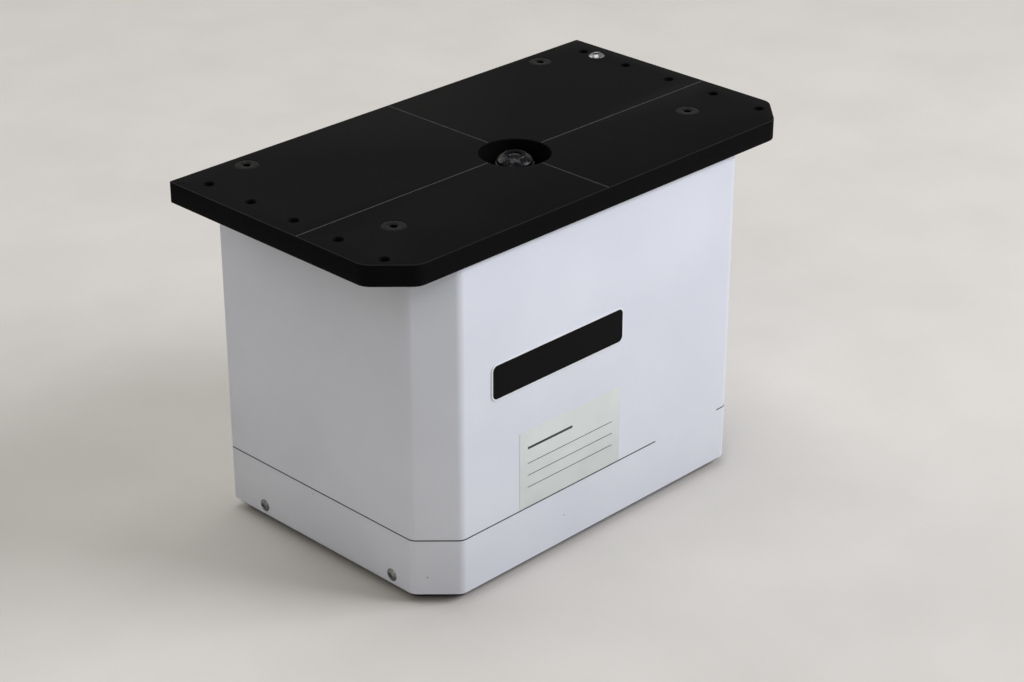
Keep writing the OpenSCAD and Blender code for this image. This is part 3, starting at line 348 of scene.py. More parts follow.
# a material in two layers: slow clouds shift its tone, a finer grain sets its gloss and relief (sizes in mm)
def surface(name, settings, tones, cloud, grain, gloss, relief=0.0, stretch=(1, 1, 1)):
    material, tree, shader, place = startMaterial(name, settings)
    scaled = addNode(tree, "ShaderNodeMapping", {"Scale": stretch}, {"Vector": (place, "Object")})
    slow = addNode(tree, "ShaderNodeTexNoise", {"Scale": 1 / (cloud * mm), "Detail": 4.0},
                   {"Vector": (scaled, "Vector")})
    fine = addNode(tree, "ShaderNodeTexNoise", {"Scale": 1 / (grain * mm), "Detail": 2.0},
                   {"Vector": (scaled, "Vector")})
    tone = addNode(tree, "ShaderNodeValToRGB", links={"Fac": (slow, "Fac")})
    for stop, position, colour in zip(tone.color_ramp.elements, (0.32, 0.68), tones):
        stop.position, stop.color = position, linear(colour)
    shine = addNode(tree, "ShaderNodeMapRange", {"To Min": gloss[0], "To Max": gloss[1]},
                    {"Value": (fine, "Fac")})
    link(tree, shader, {"Base Color": (tone, "Color"), "Roughness": (shine, "Result")})
    if relief:
        bump = addNode(tree, "ShaderNodeBump", {"Strength": 0.3, "Distance": relief * mm},
                       {"Height": (fine, "Fac")})
        link(tree, shader, {"Normal": (bump, "Normal")})
    return material


# black oxide steel: near black with a dull oily gleam on its edges
blackOxide = surface("blackOxide", {"Metallic": 0.2, "Specular IOR Level": 0.06},
                     ("#0b0b0c", "#141415"), 3, 0.4, (0.34, 0.52), 0.01)
# stainless steel, cold formed and tumbled: mid grey, with soft pale glints on a dark ground
stainless = surface("stainless", {"Metallic": 1.0}, ("#6f7071", "#8d8e8f"), 2, 0.4, (0.22, 0.34), 0.008)
# black chrome, turned: smoky metal; its dark and pale streaks down the taper are painted reflections, tone
# clouds stretched along the axis
blackChrome = surface("blackChrome", {"Metallic": 1.0},
                      ("#090909", "#2e2f31"), 0.9, 0.5, (0.2, 0.34), 0.01, (1, 1, 0.06))
# machined aluminium: pale grey with faint cutter marks along one way
machinedAluminium = surface("machinedAluminium", {"Metallic": 1.0},
                            ("#aeb0b3", "#c3c5c8"), 8, 0.5, (0.3, 0.46), 0.01, (1, 1, 0.1))
# ground steel: smooth and grey, with fine grinding marks round the shaft
groundSteel = surface("groundSteel", {"Metallic": 1.0},
                      ("#b7b8ba", "#c8c9cb"), 6, 0.3, (0.18, 0.3), 0.005, (0.1, 1, 1))
# sintered bronze: warm, porous and dull
sinteredBronze = surface("sinteredBronze", {"Metallic": 1.0},
                         ("#8f6f3c", "#b08d57"), 3, 0.3, (0.36, 0.55), 0.02)
# moulded plastic with a spark-eroded texture: even black and a soft broad sheen
mouldedPlastic = surface("mouldedPlastic", {"IOR": 1.49}, ("#151516", "#1c1c1d"), 12, 0.6, (0.42, 0.6), 0.03)
# rubber: dull black, slightly dusty
footRubber = surface("footRubber", {"IOR": 1.52, "Specular IOR Level": 0.3},
                     ("#131313", "#1d1d1c"), 5, 0.7, (0.7, 0.88), 0.03)
# printed polyester film: deep black under a satin face
blackFilm = surface("blackFilm", {"IOR": 1.58, "Specular IOR Level": 0.04},
                    ("#070708", "#0b0b0c"), 20, 0.8, (0.34, 0.46), 0.01)
# unprinted border of the film: white, a little brighter than the paint round it
paleFilm = surface("paleFilm", {"IOR": 1.58}, ("#dcdde0", "#e6e7ea"), 10, 0.8, (0.32, 0.42))
# coated label paper: pale green-cream, faintly fibrous
labelPaper = surface("labelPaper", {"IOR": 1.5}, ("#ced3cf", "#d5dad5"), 14, 0.5, (0.5, 0.62), 0.01)
# screen-printed ink: dark grey and matt
greyInk = surface("greyInk", {"IOR": 1.5}, ("#26272b", "#36373b"), 6, 0.4, (0.5, 0.6))
# gold-plated contact: warm and bright
goldPlate = surface("goldPlate", {"Metallic": 1.0}, ("#c29a4e", "#d9b666"), 2, 0.3, (0.18, 0.28))
# polished optical glass under a violet anti-reflection coat, which takes off most of the bare glass's glare
opticalGlass = surface("opticalGlass", {"IOR": 1.2, "Transmission Weight": 0.95},
                       ("#2b2f44", "#3a4058"), 4, 1, (0.02, 0.05))
# coated filter glass: a coloured, mirror-like face
filterGlass = surface("filterGlass", {"IOR": 1.52, "Transmission Weight": 0.6},
                      ("#4f8f7a", "#7ab5a0"), 8, 1, (0.03, 0.06))
# front-surface mirror: bright aluminium on glass
mirrorGlass = surface("mirrorGlass", {"Metallic": 1.0}, ("#d8dade", "#e4e6ea"), 10, 1, (0.02, 0.05))
# solder mask over copper: green, with paler tracks under it
solderMask = surface("solderMask", {"IOR": 1.5},
                     ("#1d5a34", "#2b7446"), 2.5, 0.6, (0.25, 0.4), 0.02, (1, 1, 0.2))
# white solder mask of a metal-core board
whiteMask = surface("whiteMask", {"IOR": 1.5}, ("#dcd9d0", "#e8e6de"), 4, 0.6, (0.28, 0.4), 0.01)
# epoxy moulding of a chip: charcoal, finely rough
chipEpoxy = surface("chipEpoxy", {"IOR": 1.55}, ("#1b1b1c", "#232324"), 3, 0.3, (0.6, 0.75), 0.02)
# extruded vinyl jacket: soft black with a low gloss
vinylJacket = surface("vinylJacket", {"IOR": 1.53}, ("#161617", "#1f1f20"), 6, 0.5, (0.45, 0.6), 0.01)

# inner pieces keep their modelled shape, and only take their material
inner = {
    machinedAluminium: ["pillars", "focus_column", "focus_carriage", "gear_bracket", "heat_sink",
                        "led_mount"],
    blackAnodised: ["filter_block", "optic_lids", "mirror_housing", "tube_lens_cell", "camera_body",
                    "collimator_tube"],
    groundSteel: ["guide_rods", "drive_shaft", "knob_shaft"],
    sinteredBronze: ["carriage_bushes", "bracket_bushes", "wall_bush", "rack_pinion", "reduction_gear",
                     "knob_pinion", "focus_rack"],
    blackOxide: ["rack_screws", "bracket_screws", "lid_screws", "led_screws", "knob_screw"],
    blackChrome: ["objective_barrel"], mouldedPlastic: ["objective_grip", "board_standoffs"],
    opticalGlass: ["tube_lens", "collimator_lens"], mirrorGlass: ["fold_mirror"],
    filterGlass: ["dichroic_mirror", "excitation_filter", "emission_filter"],
    solderMask: ["control_board", "sensor_board"], whiteMask: ["led_board"], chipEpoxy: ["board_chips"],
    vinylJacket: ["led_cable", "camera_cable"],
}
for material, names in inner.items():
    for name in names:
        cadNodes[name].data.materials.clear()
        cadNodes[name].data.materials.append(material)
print("materials made")

# stage plate: outline with two front chamfers, objective opening, cross lines, tapped holes and countersinks;
# the lines are drawn shallow, as if filled, so that they stay pale from a low angle
low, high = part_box("stage_plate")
stage = {"halfLength": high.x / mm, "halfWidth": high.y / mm, "bottom": low.z / mm, "top": high.z / mm,
         "frontChamfer": 15.0, "backChamfer": 0.5, "cornerRadius": 7.5, "cornerSteps": 10, "edge": 0.3,
         "axisY": -12.0, "openingRadius": 15.0, "openingChamfer": 0.3, "quarterSteps": 18,
         "lineWidth": 0.6, "lineDepth": 0.1,
         "holeX": 108.0, "holePitch": 25.4, "holeCount": 5, "holeRadius": 2.1, "holeChamfer": 0.4,
         "holeSteps": 24, "threadPitch": 0.8, "threadDepth": 0.22, "threadEnd": 2.0, "cornerScrewY": 42.8,
         "screwX": 84.8, "screwYs": (-31.0, 55.5), "sinkRadius": 5.25, "boreRadius": 2.55, "sinkSteps": 36}


# a tapped hole from the top down: lead-in, thread ridges and a plain end
def tappedHole(bm, x, y):
    radius, lead, half = stage["holeRadius"], stage["holeChamfer"], stage["threadPitch"] / 2
    z = stage["top"] - lead
    profile = [(radius + lead, stage["top"]), (radius, z)]
    while z > stage["bottom"] + stage["threadEnd"]:
        profile += [(radius + stage["threadDepth"], z - half), (radius, z - half - half)]
        z = z - half - half
    profile.append((radius, stage["bottom"]))
    loops = [ring(bm, circle(r, stage["holeSteps"], x, y), height) for r, height in profile]
    joinAll(bm, loops)
    return x, y, loops[0], loops[-1]


def countersink(bm, x, y):
    sink, bore = stage["sinkRadius"], stage["boreRadius"]
    profile = [(sink, stage["top"]), (bore, stage["top"] - (sink - bore)), (bore, stage["bottom"])]
    loops = [ring(bm, circle(r, stage["sinkSteps"], x, y), height) for r, height in profile]
    joinAll(bm, loops)
    return x, y, loops[0], loops[-1]


def buildStage():
    bm = bmesh.new()
    hl, hw, h, ay = stage["halfLength"], stage["halfWidth"], stage["lineWidth"] / 2, stage["axisY"]
    leg, back, r = stage["frontChamfer"], stage["backChamfer"], stage["cornerRadius"]
    top, bottom = stage["top"], stage["bottom"]
    outline = roundedOutline(
        [(back - hl, hw), (-hl, hw - back), (-hl, ay + h), (-hl, ay - h), (-hl, leg - hw), (leg - hl, -hw),
         (-h, -hw), (h, -hw), (hl - leg, -hw), (hl, leg - hw), (hl, ay - h), (hl, ay + h), (hl, hw - back),
         (hl - back, hw), (h, hw), (-h, hw)],
        [0, 0, 0, 0, r, r, 0, 0, r, r, 0, 0, 0, 0, 0, 0], stage["cornerSteps"])
    count = len(outline)
    arc = stage["cornerSteps"] + 1

    # where in the outline each cross line ends: the first of its two points
    left, front, right, rear = 2, 4 + 2 * arc, 6 + 4 * arc, 10 + 4 * arc
    walls = softWall(bm, outline, bottom, top, stage["edge"])
    # the softened edge rings take the paler edge material, a painted highlight; the upright band stays plain
    # black
    for k, (a, b) in enumerate(zip(walls, walls[1:])):
        join(bm, a, b, 0 if k == upright else 1)
    topLoop, bottomLoop = walls[-1], walls[0]

    # opening, in four arcs with the lines between them
    bore, lead = stage["openingRadius"], stage["openingChamfer"]
    wide = bore + lead
    gap = math.asin(h / wide)
    steps = stage["quarterSteps"]
    span = math.pi / 2 - 2 * gap
    angles = [k * math.pi / 2 + gap + span * i / steps for k in range(4) for i in range(steps + 1)]
    around = [Vector((math.cos(a), math.sin(a))) for a in angles]
    mouth = [ring(bm, [Vector((0, ay)) + radius * p for p in around], z) for radius, z in
             [(wide, top), (bore, top - lead), (bore, bottom + lead), (wide, bottom)]]
    joinAll(bm, mouth)
    arcs = [mouth[0][k * (steps + 1):(k + 1) * (steps + 1)] for k in range(4)]

    middle = (stage["holeCount"] - 1) / 2
    holes = [tappedHole(bm, side * stage["holeX"], (i - middle) * stage["holePitch"])
             for side in (-1, 1) for i in range(stage["holeCount"])]
    holes += [countersink(bm, side * stage["screwX"], y) for side in (-1, 1) for y in stage["screwYs"]]

    # four parts of the top face, each between two engraved lines
    pick = lambda a, b: [topLoop[i % count] for i in range(a, b + 1)]
    quarters = [(pick(right + 1, rear), arcs[0], 1, 1), (pick(rear + 1, count + left), arcs[1], -1, 1),
                (pick(left + 1, front), arcs[2], -1, -1), (pick(front + 1, right), arcs[3], 1, -1)]
    for outer, within, sx, sy in quarters:
        inside = [above for x, y, above, below in holes if x * sx > 0 and (y - ay) * sy > 0]
        fill(bm, [outer + list(reversed(within))] + inside)
    fill(bm, [bottomLoop, mouth[-1]] + [below for x, y, above, below in holes])

    # the lines themselves: floors and walls in a dull, cut finish
    for k, end in enumerate((right, rear, left, front)):
        loop = [arcs[k - 1][-1], arcs[k][0], topLoop[end + 1], topLoop[end]]
        floor = [bm.verts.new(v.co - Vector((0, 0, stage["lineDepth"]))) for v in loop]
        join(bm, loop, floor, 2)
        bm.faces.new(floor).material_index = 2
    return bm


finishPiece(buildStage(), "stagePlate", [blackAnodised, anodisedEdgeHighlight, engravedLine], "chassis",
            ["stage_plate"])
print("stage plate built")

# wrap-round cover: one bent sheet, open at the back
cover = {"halfLength": 94.5, "front": -62.0, "back": 63.0, "bottom": 4.0, "top": 148.0, "sheet": 1.5,
         "leg": 14.5, "bend": 5.0, "edge": 0.35, "steps": 10, "holeSteps": 32, "screwYs": (-35.6, 43.1),
         "screwZ": 8.2, "screwHole": 1.55, "bushPlace": (10.03, 89.0), "bushHole": 5.55}


# the housing's outline from rear left to rear right, moved inwards, with the radius of each bend
def housingPath(inset, back):
    x, y = cover["halfLength"] - inset, cover["front"] + inset
    leg, r = cover["leg"] - inset * (2 - math.sqrt(2)), cover["bend"] - inset
    points = [(-x, back), (-x, y + leg), (leg - x, y), (x - leg, y), (x, y + leg), (x, back)]
    return points, [0, r, r, r, r, 0]


def buildCover():
    bm = bmesh.new()
    outer, outerRadii = housingPath(0, cover["back"])
    inside, insideRadii = housingPath(cover["sheet"], cover["back"])
    e, steps = cover["edge"], cover["steps"]
    radii = [e] + outerRadii[1:-1] + [e, e] + insideRadii[1:-1] + [e]
    outline = roundedOutline(outer + inside[::-1], radii, steps)
    walls = softWall(bm, outline, cover["bottom"], cover["top"], e)

    # side walls, left and right, outside and inside, are left open here and filled round their holes
    flat = [(k + 1) * (steps + 1) - 1 for k in (0, 4, 6, 10)]
    for k, (a, b) in enumerate(zip(walls, walls[1:])):
        for i in range(len(a)):
            if k != upright or i not in flat:
                bm.faces.new((a[i], a[(i + 1) % len(a)], b[(i + 1) % len(a)], b[i]))
    for side, outside, within in ((-1, flat[0], flat[3]), (1, flat[1], flat[2])):
        spots = [(y, cover["screwZ"], cover["screwHole"]) for y in cover["screwYs"]]
        spots += [cover["bushPlace"] + (cover["bushHole"],)] if side > 0 else []
        loops = []
        for y, z, r in spots:
            pair = [[bm.verts.new((side * x, p.x, p.y)) for p in circle(r, cover["holeSteps"], y, z)]
                    for x in (cover["halfLength"], cover["halfLength"] - cover["sheet"])]
            join(bm, *pair)
            loops.append(pair)
        lower, upper = walls[upright], walls[upright + 1]
        for depth, i in enumerate((outside, within)):
            wall = [lower[i], lower[i + 1], upper[i + 1], upper[i]]
            fill(bm, [wall] + [pair[depth] for pair in loops])
    fill(bm, [walls[0]])
    fill(bm, [walls[-1]])
    return bm


finishPiece(buildCover(), "wrapCover", [powderCoat], "chassis", ["wrap_cover"])

# printed line round the foot of the cover, with a gap on the front
stripe = {"height": 29.0, "width": 0.55, "proud": 0.04, "sunk": 0.02, "gap": (34.4, 74.4)}
bm = bmesh.new()
runs = []
for inset in (-stripe["proud"], stripe["sunk"]):
    points, radii = housingPath(inset, cover["back"] - cover["edge"])
    path = roundedOutline(points, radii, cover["steps"])
    half = 1 + 2 * (cover["steps"] + 1)
    gapEnds = [Vector((x, points[2][1])) for x in stripe["gap"]]
    runs.append((path[:half] + gapEnds[:1], gapEnds[1:] + path[half:]))
for outside, within in zip(*runs):
    low, high = stripe["height"] - stripe["width"] / 2, stripe["height"] + stripe["width"] / 2
    sections = [[bm.verts.new((p.x, p.y, z)) for p, z in ((a, low), (a, high), (b, high), (b, low))]
                for a, b in zip(outside, within)]
    joinAll(bm, sections)
    bm.faces.new(sections[0])
    bm.faces.new(sections[-1])
finishPiece(bm, "printedLine", [greyInk], "chassis")
print("cover built")

# rear panel: let in between the side walls, with countersinks and the socket's cut-out
panel = {"width": 185.6, "low": 4.0, "high": 148.0, "inner": 61.5, "outer": 63.0, "edge": 0.3, "corner": 0.6,
         "screwPlaces": [(side * x, z) for x, zs in ((84.8, (44.2, 116)), (44, (28.2, 86.2)))
                         for side in (-1, 1) for z in zs],
         "sink": 3.05, "bore": 1.55, "coneShare": 0.99, "holeSteps": 32,
         "socket": (26.0, 44.2, 12.4, 11.4), "socketCorner": 0.4, "socketEdge": 0.2}
onBack = Matrix(((1, 0, 0, 0), (0, 0, 1, 0), (0, 1, 0, 0), (0, 0, 0, 1)))
holes = []
for x, z in panel["screwPlaces"]:
    cone = (panel["sink"] - panel["bore"]) * panel["coneShare"]
    profile = [(panel["sink"], panel["outer"]), (panel["sink"] - cone, panel["outer"] - cone),
               (panel["bore"], panel["inner"])]
    holes.append([(circle(r, panel["holeSteps"], x, z), depth) for r, depth in profile])
x, z, width, height = panel["socket"]
cutOut = rectangle(width, height, panel["socketCorner"], x, z)
holes.append([(insetOutline(cutOut, -panel["socketEdge"]), panel["outer"]),
              (cutOut, panel["outer"] - panel["socketEdge"]), (cutOut, panel["inner"])])
bm = bmesh.new()
outline = rectangle(panel["width"], panel["high"] - panel["low"], panel["corner"], 0,
                    (panel["low"] + panel["high"]) / 2)
plate(bm, outline, panel["inner"], panel["outer"], panel["edge"], holes)
bmesh.ops.transform(bm, matrix=onBack, verts=bm.verts)
finishPiece(bm, "rearPanel", [powderCoat], "chassis", ["rear_panel"])

# screws let into flat faces: shank, head and length, where each sits and which way its head faces;
# the lower ones are flush with the underside of the base plate, where the feet end
underside = 2.2
down = (0, 0, -1)
screws = {
    "stageScrews": {
        "node": "stage_screws", "size": (5, 10.4, 25), "facing": (0, 0, 1), "material": blackOxide,
        "places": [(side * stage["screwX"], y, stage["top"]) for side in (-1, 1) for y in stage["screwYs"]],
        "slot": "black_oxide"},
    "rearScrews": {
        "node": "rear_screws", "size": (3, 6, 9), "facing": (0, 1, 0), "material": stainless,
        "places": [(x, panel["outer"], z) for x, z in panel["screwPlaces"]],
        "slot": "stainless"},
    "pillarScrews": {
        "node": "pillar_screws", "size": (5, 10.4, 25), "facing": down, "material": blackOxide,
        "places": [(side * stage["screwX"], y, underside) for side in (-1, 1) for y in stage["screwYs"]],
        "slot": "black_oxide"},
    "columnScrews": {
        "node": "column_screws", "size": (4, 8, 15), "facing": down, "material": blackOxide,
        "places": [(x, y, underside) for x in (-24, 24) for y in (15.97, 29.03)],
        "slot": "black_oxide"},
    "opticScrews": {
        "node": "optic_base_screws", "size": (3, 6, 11.5), "facing": down, "material": blackOxide,
        "places": [(x, y, underside) for x, y in
                   ((-7.03, -12), (7.03, -12), (41.06, -12), (59.06, -12), (-59.4, -24), (-59.4, 0))],
        "slot": "black_oxide"},
}

# base plate: set back a little under the cover, its lip showing as a dark line
base = {"inset": 1.7, "back": 61.3, "low": underside, "high": 12.2, "edge": 0.5, "play": 0.05,
        "holeSteps": 32}
points, radii = housingPath(base["inset"], base["back"])
holes = []
for name in ("pillarScrews", "columnScrews", "opticScrews"):
    shank, head, length = screws[name]["size"]
    profile = [(shank / 2 + base["play"], base["high"]),
               (shank / 2 + base["play"], base["low"] + (head - shank) / 2),
               (head / 2 + base["play"], base["low"])]
    for x, y, z in screws[name]["places"]:
        holes.append([(circle(r, base["holeSteps"], x, y), height) for r, height in profile])
bm = bmesh.new()
plate(bm, roundedOutline(points, radii, cover["steps"]), base["low"], base["high"], base["edge"], holes)
finishPiece(bm, "basePlate", [blackAnodised], "chassis", ["base_plate"])

# countersunk head: hexagon socket with a lead-in, and a softened rim; sunk and point are in mm, the rest
# are shares of the shank or the head
flatHead = {"steps": 36, "sunk": 0.08, "drive": 0.606, "driveDepth": 0.42, "lead": 0.4, "leadDepth": 0.05,
            "rim": (0.045, 0.012), "rimDepth": (0.012, 0.04), "point": 0.4}


def flatScrew(bm, matrix, shank, head, length):
    n, r, s, sunk = flatHead["steps"], head / 2, shank / 2, flatHead["sunk"]
    drive = hexagon(flatHead["drive"] * shank, n)
    inRim, outRim = (share * head for share in flatHead["rim"])
    inDepth, outDepth = (share * head for share in flatHead["rimDepth"])
    profile = [(flatHead["lead"] * shank, -sunk), (r - inRim, -sunk), (r - outRim, -sunk - inDepth),
               (r, -sunk - outDepth), (s, s - r - sunk), (s, flatHead["point"] - length),
               (s - flatHead["point"], -length)]
    rings = [(drive, -flatHead["driveDepth"] * (head - shank)),
             (drive, -flatHead["leadDepth"] * shank - sunk)]
    turned(bm, rings + [(circle(radius, n), z) for radius, z in profile], matrix)


for name, kind in screws.items():
    bm = bmesh.new()
    for spot in kind["places"]:
        flatScrew(bm, pointing(spot, kind["facing"]), *kind["size"])
    finishPiece(bm, name, [kind["material"]], "chassis", [kind["node"]])

# button head: a low dome over a deep hexagon socket; the point is in mm, the rest are shares likewise
buttonHead = {"steps": 36, "domeSteps": 8, "drive": 0.62, "lead": 0.39, "leadDepth": 0.06, "floor": 0.25,
              "point": 0.4}


def buttonScrew(bm, matrix, shank, head, height, length):
    n, r, s = buttonHead["steps"], head / 2, shank / 2
    drive = hexagon(buttonHead["drive"] * shank, n)
    sphere = (r * r + height * height) / (2 * height)
    widest = math.asin(r / sphere)
    inmost = math.asin(buttonHead["lead"] * shank / sphere)
    steps = buttonHead["domeSteps"]
    arc = [inmost + (widest - inmost) * k / steps for k in range(steps + 1)]
    profile = [(sphere * math.sin(a), height - sphere * (1 - math.cos(a))) for a in arc]
    lip = profile[0][1] - buttonHead["leadDepth"] * shank
    profile += [(s, 0), (s, buttonHead["point"] - length), (s - buttonHead["point"], -length)]
    rings = [(drive, buttonHead["floor"] * height), (drive, lip)]
    turned(bm, rings + [(circle(radius, n), z) for radius, z in profile], matrix)


bright = {
    "cornerScrew": {
        "node": "corner_screw", "size": (4, 7.2, 1.44, 6),
        "places": [((stage["holeX"], stage["cornerScrewY"], stage["top"]), (0, 0, 1))]},
    "coverScrews": {
        "node": "cover_screws", "size": (3, 5.6, 1.12, 9),
        "places": [((side * cover["halfLength"], y, cover["screwZ"]), (side, 0, 0))
                   for side in (-1, 1) for y in cover["screwYs"]]},
}
for name, kind in bright.items():
    bm = bmesh.new()
    for spot, facing in kind["places"]:
        buttonScrew(bm, pointing(spot, facing), *kind["size"])
    finishPiece(bm, name, [stainless], "chassis", [kind["node"]])

# rubber feet: tapered discs with a shallow dish in the sole
foot = {"radius": 7.0, "height": underside, "steps": 40,
        "places": [(x, y) for x in (-70.8, 70.8) for y in (-46.5, 47.5)]}
r, h = foot["radius"], foot["height"]
profile = [(0.5, 0.3), (3.2, 0.3), (3.6, 0.05), (3.8, 0), (r - 1.0, 0), (r - 0.75, 0.08), (r - 0.6, 0.3),
           (r, h - 0.5), (r, h - 0.2), (r - 0.2, h)]
bm = bmesh.new()
for x, y in foot["places"]:
    turned(bm, [(circle(radius, foot["steps"]), z) for radius, z in profile], Matrix.Translation((x, y, 0)))
finishPiece(bm, "rubberFeet", [footRubber], "chassis", ["rubber_feet"])
print("panel, base, screws and feet built")

# name plate: black film with a white border
onFront = Matrix(((1, 0, 0, 0), (0, 0, -1, cover["front"]), (0, 1, 0, 0), (0, 0, 0, 1)))
badge = {"size": (76.0, 16.0), "radius": 3.0, "steps": 12, "place": (-26.0, 92.7), "thick": 0.45,
         "edge": 0.12, "border": 0.65}
bm = bmesh.new()
outline = rectangle(*badge["size"], badge["radius"], *badge["place"], badge["steps"])
t, e = badge["thick"], badge["edge"]
near = e * edgeShare
rings = [ring(bm, insetOutline(outline, inset), z) for inset, z in
         [(0, 0), (0, t - e), (near, t - near), (e, t), (badge["border"], t)]]
joinAll(bm, rings, 1)
fill(bm, [rings[0]])
fill(bm, [rings[-1]])
bmesh.ops.transform(bm, matrix=onFront, verts=bm.verts)
finishPiece(bm, "namePlate", [blackFilm, paleFilm], "chassis", ["name_plate"])

# paper label: blank, with ruled lines to write on, and its foot on the printed line
label = {"size": (59.5, 35.0), "radius": 0.8, "place": (-18.5, 46.9), "thick": 0.1, "edge": 0.03,
         "ink": 0.03, "inkSunk": 0.02, "inkEdge": 0.01, "inkCorner": 0.2,
         "rules": [(-12.0, 9.5, 26.0, 1.1), (0.0, 2.5, 50.0, 0.3), (0.0, -3.0, 50.0, 0.3),
                   (0.0, -8.5, 50.0, 0.3)]}
bm = bmesh.new()
plate(bm, rectangle(*label["size"], label["radius"], *label["place"]), 0, label["thick"], label["edge"])
paperFaces = set(bm.faces)
for x, z, width, height in label["rules"]:
    outline = rectangle(width, height, height * label["inkCorner"], label["place"][0] + x,
                        label["place"][1] + z, 2)
    plate(bm, outline, label["thick"] - label["inkSunk"], label["thick"] + label["ink"], label["inkEdge"])
for face in bm.faces:
    face.material_index = 0 if face in paperFaces else 1
bmesh.ops.transform(bm, matrix=onFront, verts=bm.verts)
finishPiece(bm, "paperLabel", [labelPaper, greyInk], "chassis", ["paper_label"])

# focus knob: fluted rim, softened edges, dished face and a blind bore
knob = {"place": (97.0, 10.03, 89.0), "radius": 18.0, "length": 16.0, "flutes": 30, "fluteSteps": 8,
        "depth": 0.7, "bore": 2.55, "boreEnd": 2.0, "screwAt": 5.0, "screwHole": 1.55, "screwSteps": 32}


def fluted(radius, depth):
    count = knob["flutes"] * knob["fluteSteps"]
    found = []
    for k in range(count):
        a = 2 * math.pi * k / count
        reach = radius - depth * (1 - math.cos(a * knob["flutes"])) / 2
        found.append(reach * Vector((math.cos(a), math.sin(a))))
    return found


# radius, depth of the flutes and height, from the bore round the rim to the middle of the face
r, length, deep, bore = knob["radius"], knob["length"], knob["depth"], knob["bore"]
profile = [(bore, 0, length - knob["boreEnd"]), (bore, 0, 0.3), (bore + 0.3, 0, 0), (r - 1.4, 0.1, 0),
           (r - 0.5, deep * 0.7, 0.25), (r, deep, 0.9), (r, deep, length - 1.8),
           (r - 0.12, deep * 0.9, length - 1.2), (r - 0.5, deep * 0.55, length - 0.6),
           (r - 1.1, deep * 0.2, length - 0.15), (r - 1.7, 0, length), (r - 3.1, 0, length),
           (r - 3.5, 0, length - 0.2), (r - 3.9, 0, length - 0.65), (r - 4.6, 0, length - 0.85),
           (r - 12, 0, length - 0.6), (0.6, 0, length - 0.5)]
bm = bmesh.new()
turned(bm, [(fluted(radius, depth), z) for radius, depth, z in profile], pointing(knob["place"], (1, 0, 0)))
focusKnob = finishPiece(bm, "focusKnob", [mouldedPlastic], "knob", ["focus_knob"])

# the set screw's hole is drilled from above, and the drill is then taken away
bm = bmesh.new()
x, y, z = knob["place"]
drill = circle(knob["screwHole"], knob["screwSteps"])
turned(bm, [(drill, 0), (drill, r + 1)], Matrix.Translation((x + knob["screwAt"], y, z)))
cutter = bpy.data.objects.new("cutter", toMesh(bm, "cutter"))
bpy.context.scene.collection.objects.link(cutter)
cut = focusKnob.modifiers.new("screwHole", "BOOLEAN")
cut.object, cut.operation, cut.solver = cutter, "DIFFERENCE", "EXACT"
bpy.context.view_layer.update()
drilled = bpy.data.meshes.new_from_object(focusKnob.evaluated_get(bpy.context.evaluated_depsgraph_get()))
focusKnob.modifiers.clear()
focusKnob.data = drilled
bpy.data.objects.remove(cutter)
shade(drilled)
print("plates and knob built")

# objective: a black front face, convex taper, a groove and a long cone; the lens sits just below the rim
objective = {"axis": (0.0, -12.0), "steps": 96, "sharp": 28, "faceRadius": 4.4,
             "nose": [(2.65, 154.4), (2.65, 156.1), (3.1, 156.45), (3.3, 156.5), (4.35, 156.5),
                      (4.62, 156.42), (4.75, 156.2), (5.5, 155.85), (6.25, 155.4), (6.95, 154.85),
                      (7.45, 154.35), (7.7, 154.0), (7.75, 153.8), (7.7, 153.7), (7.4, 153.6),
                      (7.4, 153.2), (7.85, 153.1), (8.1, 152.95), (9.0, 148.0), (9.9, 143.0),
                      (10.8, 138.0), (11.0, 137.0)],
             "lens": [(2.5, 154.45), (2.55, 155.7), (2.45, 155.86), (1.8, 156.06), (1.0, 156.19),
                      (0.3, 156.24)]}
for name, profile, materials, slot, node in (
        ("objectiveNose", "nose", [blackChrome, blackAnodised], "objective_chrome", "objective_nose"),
        ("objectiveLens", "lens", [opticalGlass], "optical_glass", "objective_lens")):
    bm = bmesh.new()
    turned(bm, [(circle(radius, objective["steps"]), z) for radius, z in objective[profile]])
    for face in bm.faces:
        inFront = max(v.co.xy.length for v in face.verts) < objective["faceRadius"]
        face.material_index = len(materials) - 1 if inFront else 0
    bmesh.ops.translate(bm, vec=(*objective["axis"], 0), verts=bm.verts)
    finishPiece(bm, name, materials, "carriage", [node], objective["sharp"])

# data socket: a metal shell with two cut corners in its mouth, and a tongue with four contacts
socket = {"place": (26.0, 44.2), "shell": (12.0, 11.0), "shellCorner": 0.5, "edge": 0.2, "edgeMiddle": 0.06,
          "mouth": (8.8, 7.8), "cut": 1.9, "mouthCorner": 0.4, "mouthSteps": 4, "back": 47.5, "front": 63.6,
          "depth": 9.0, "tongue": (6.0, 3.2), "tongueCorner": 0.3, "tongueBack": 1.0, "tongueRoot": 0.1,
          "contact": (1.0, 6.0, 0.06), "contactX": 1.25, "contactBack": 0.6, "contactCorner": 0.03,
          "contactEdge": 0.02}
bm = bmesh.new()
x, z = socket["place"]
w, h, cut = socket["mouth"][0] / 2, socket["mouth"][1] / 2, socket["cut"]
mouth = roundedOutline([(x - w, z - h), (x + w, z - h), (x + w, z + h - cut), (x + w - cut, z + h),
                        (x - w + cut, z + h), (x - w, z + h - cut)],
                       [socket["mouthCorner"]] * 6, socket["mouthSteps"])
back, front, e, near = socket["back"], socket["front"], socket["edge"], socket["edgeMiddle"]
floor, tip = front - socket["depth"], front - socket["tongueBack"]
shell = rectangle(*socket["shell"], socket["shellCorner"], x, z)
walls = [ring(bm, insetOutline(shell, inset), y) for inset, y in
         [(e, back), (0, back + e), (0, front - e), (near, front - near), (e, front)]]
lips = [ring(bm, insetOutline(mouth, inset), y) for inset, y in [(-e, front), (0, front - e), (0, floor)]]
joinAll(bm, walls)
joinAll(bm, lips)
fill(bm, [walls[-1], lips[0]])
fill(bm, [walls[0]])
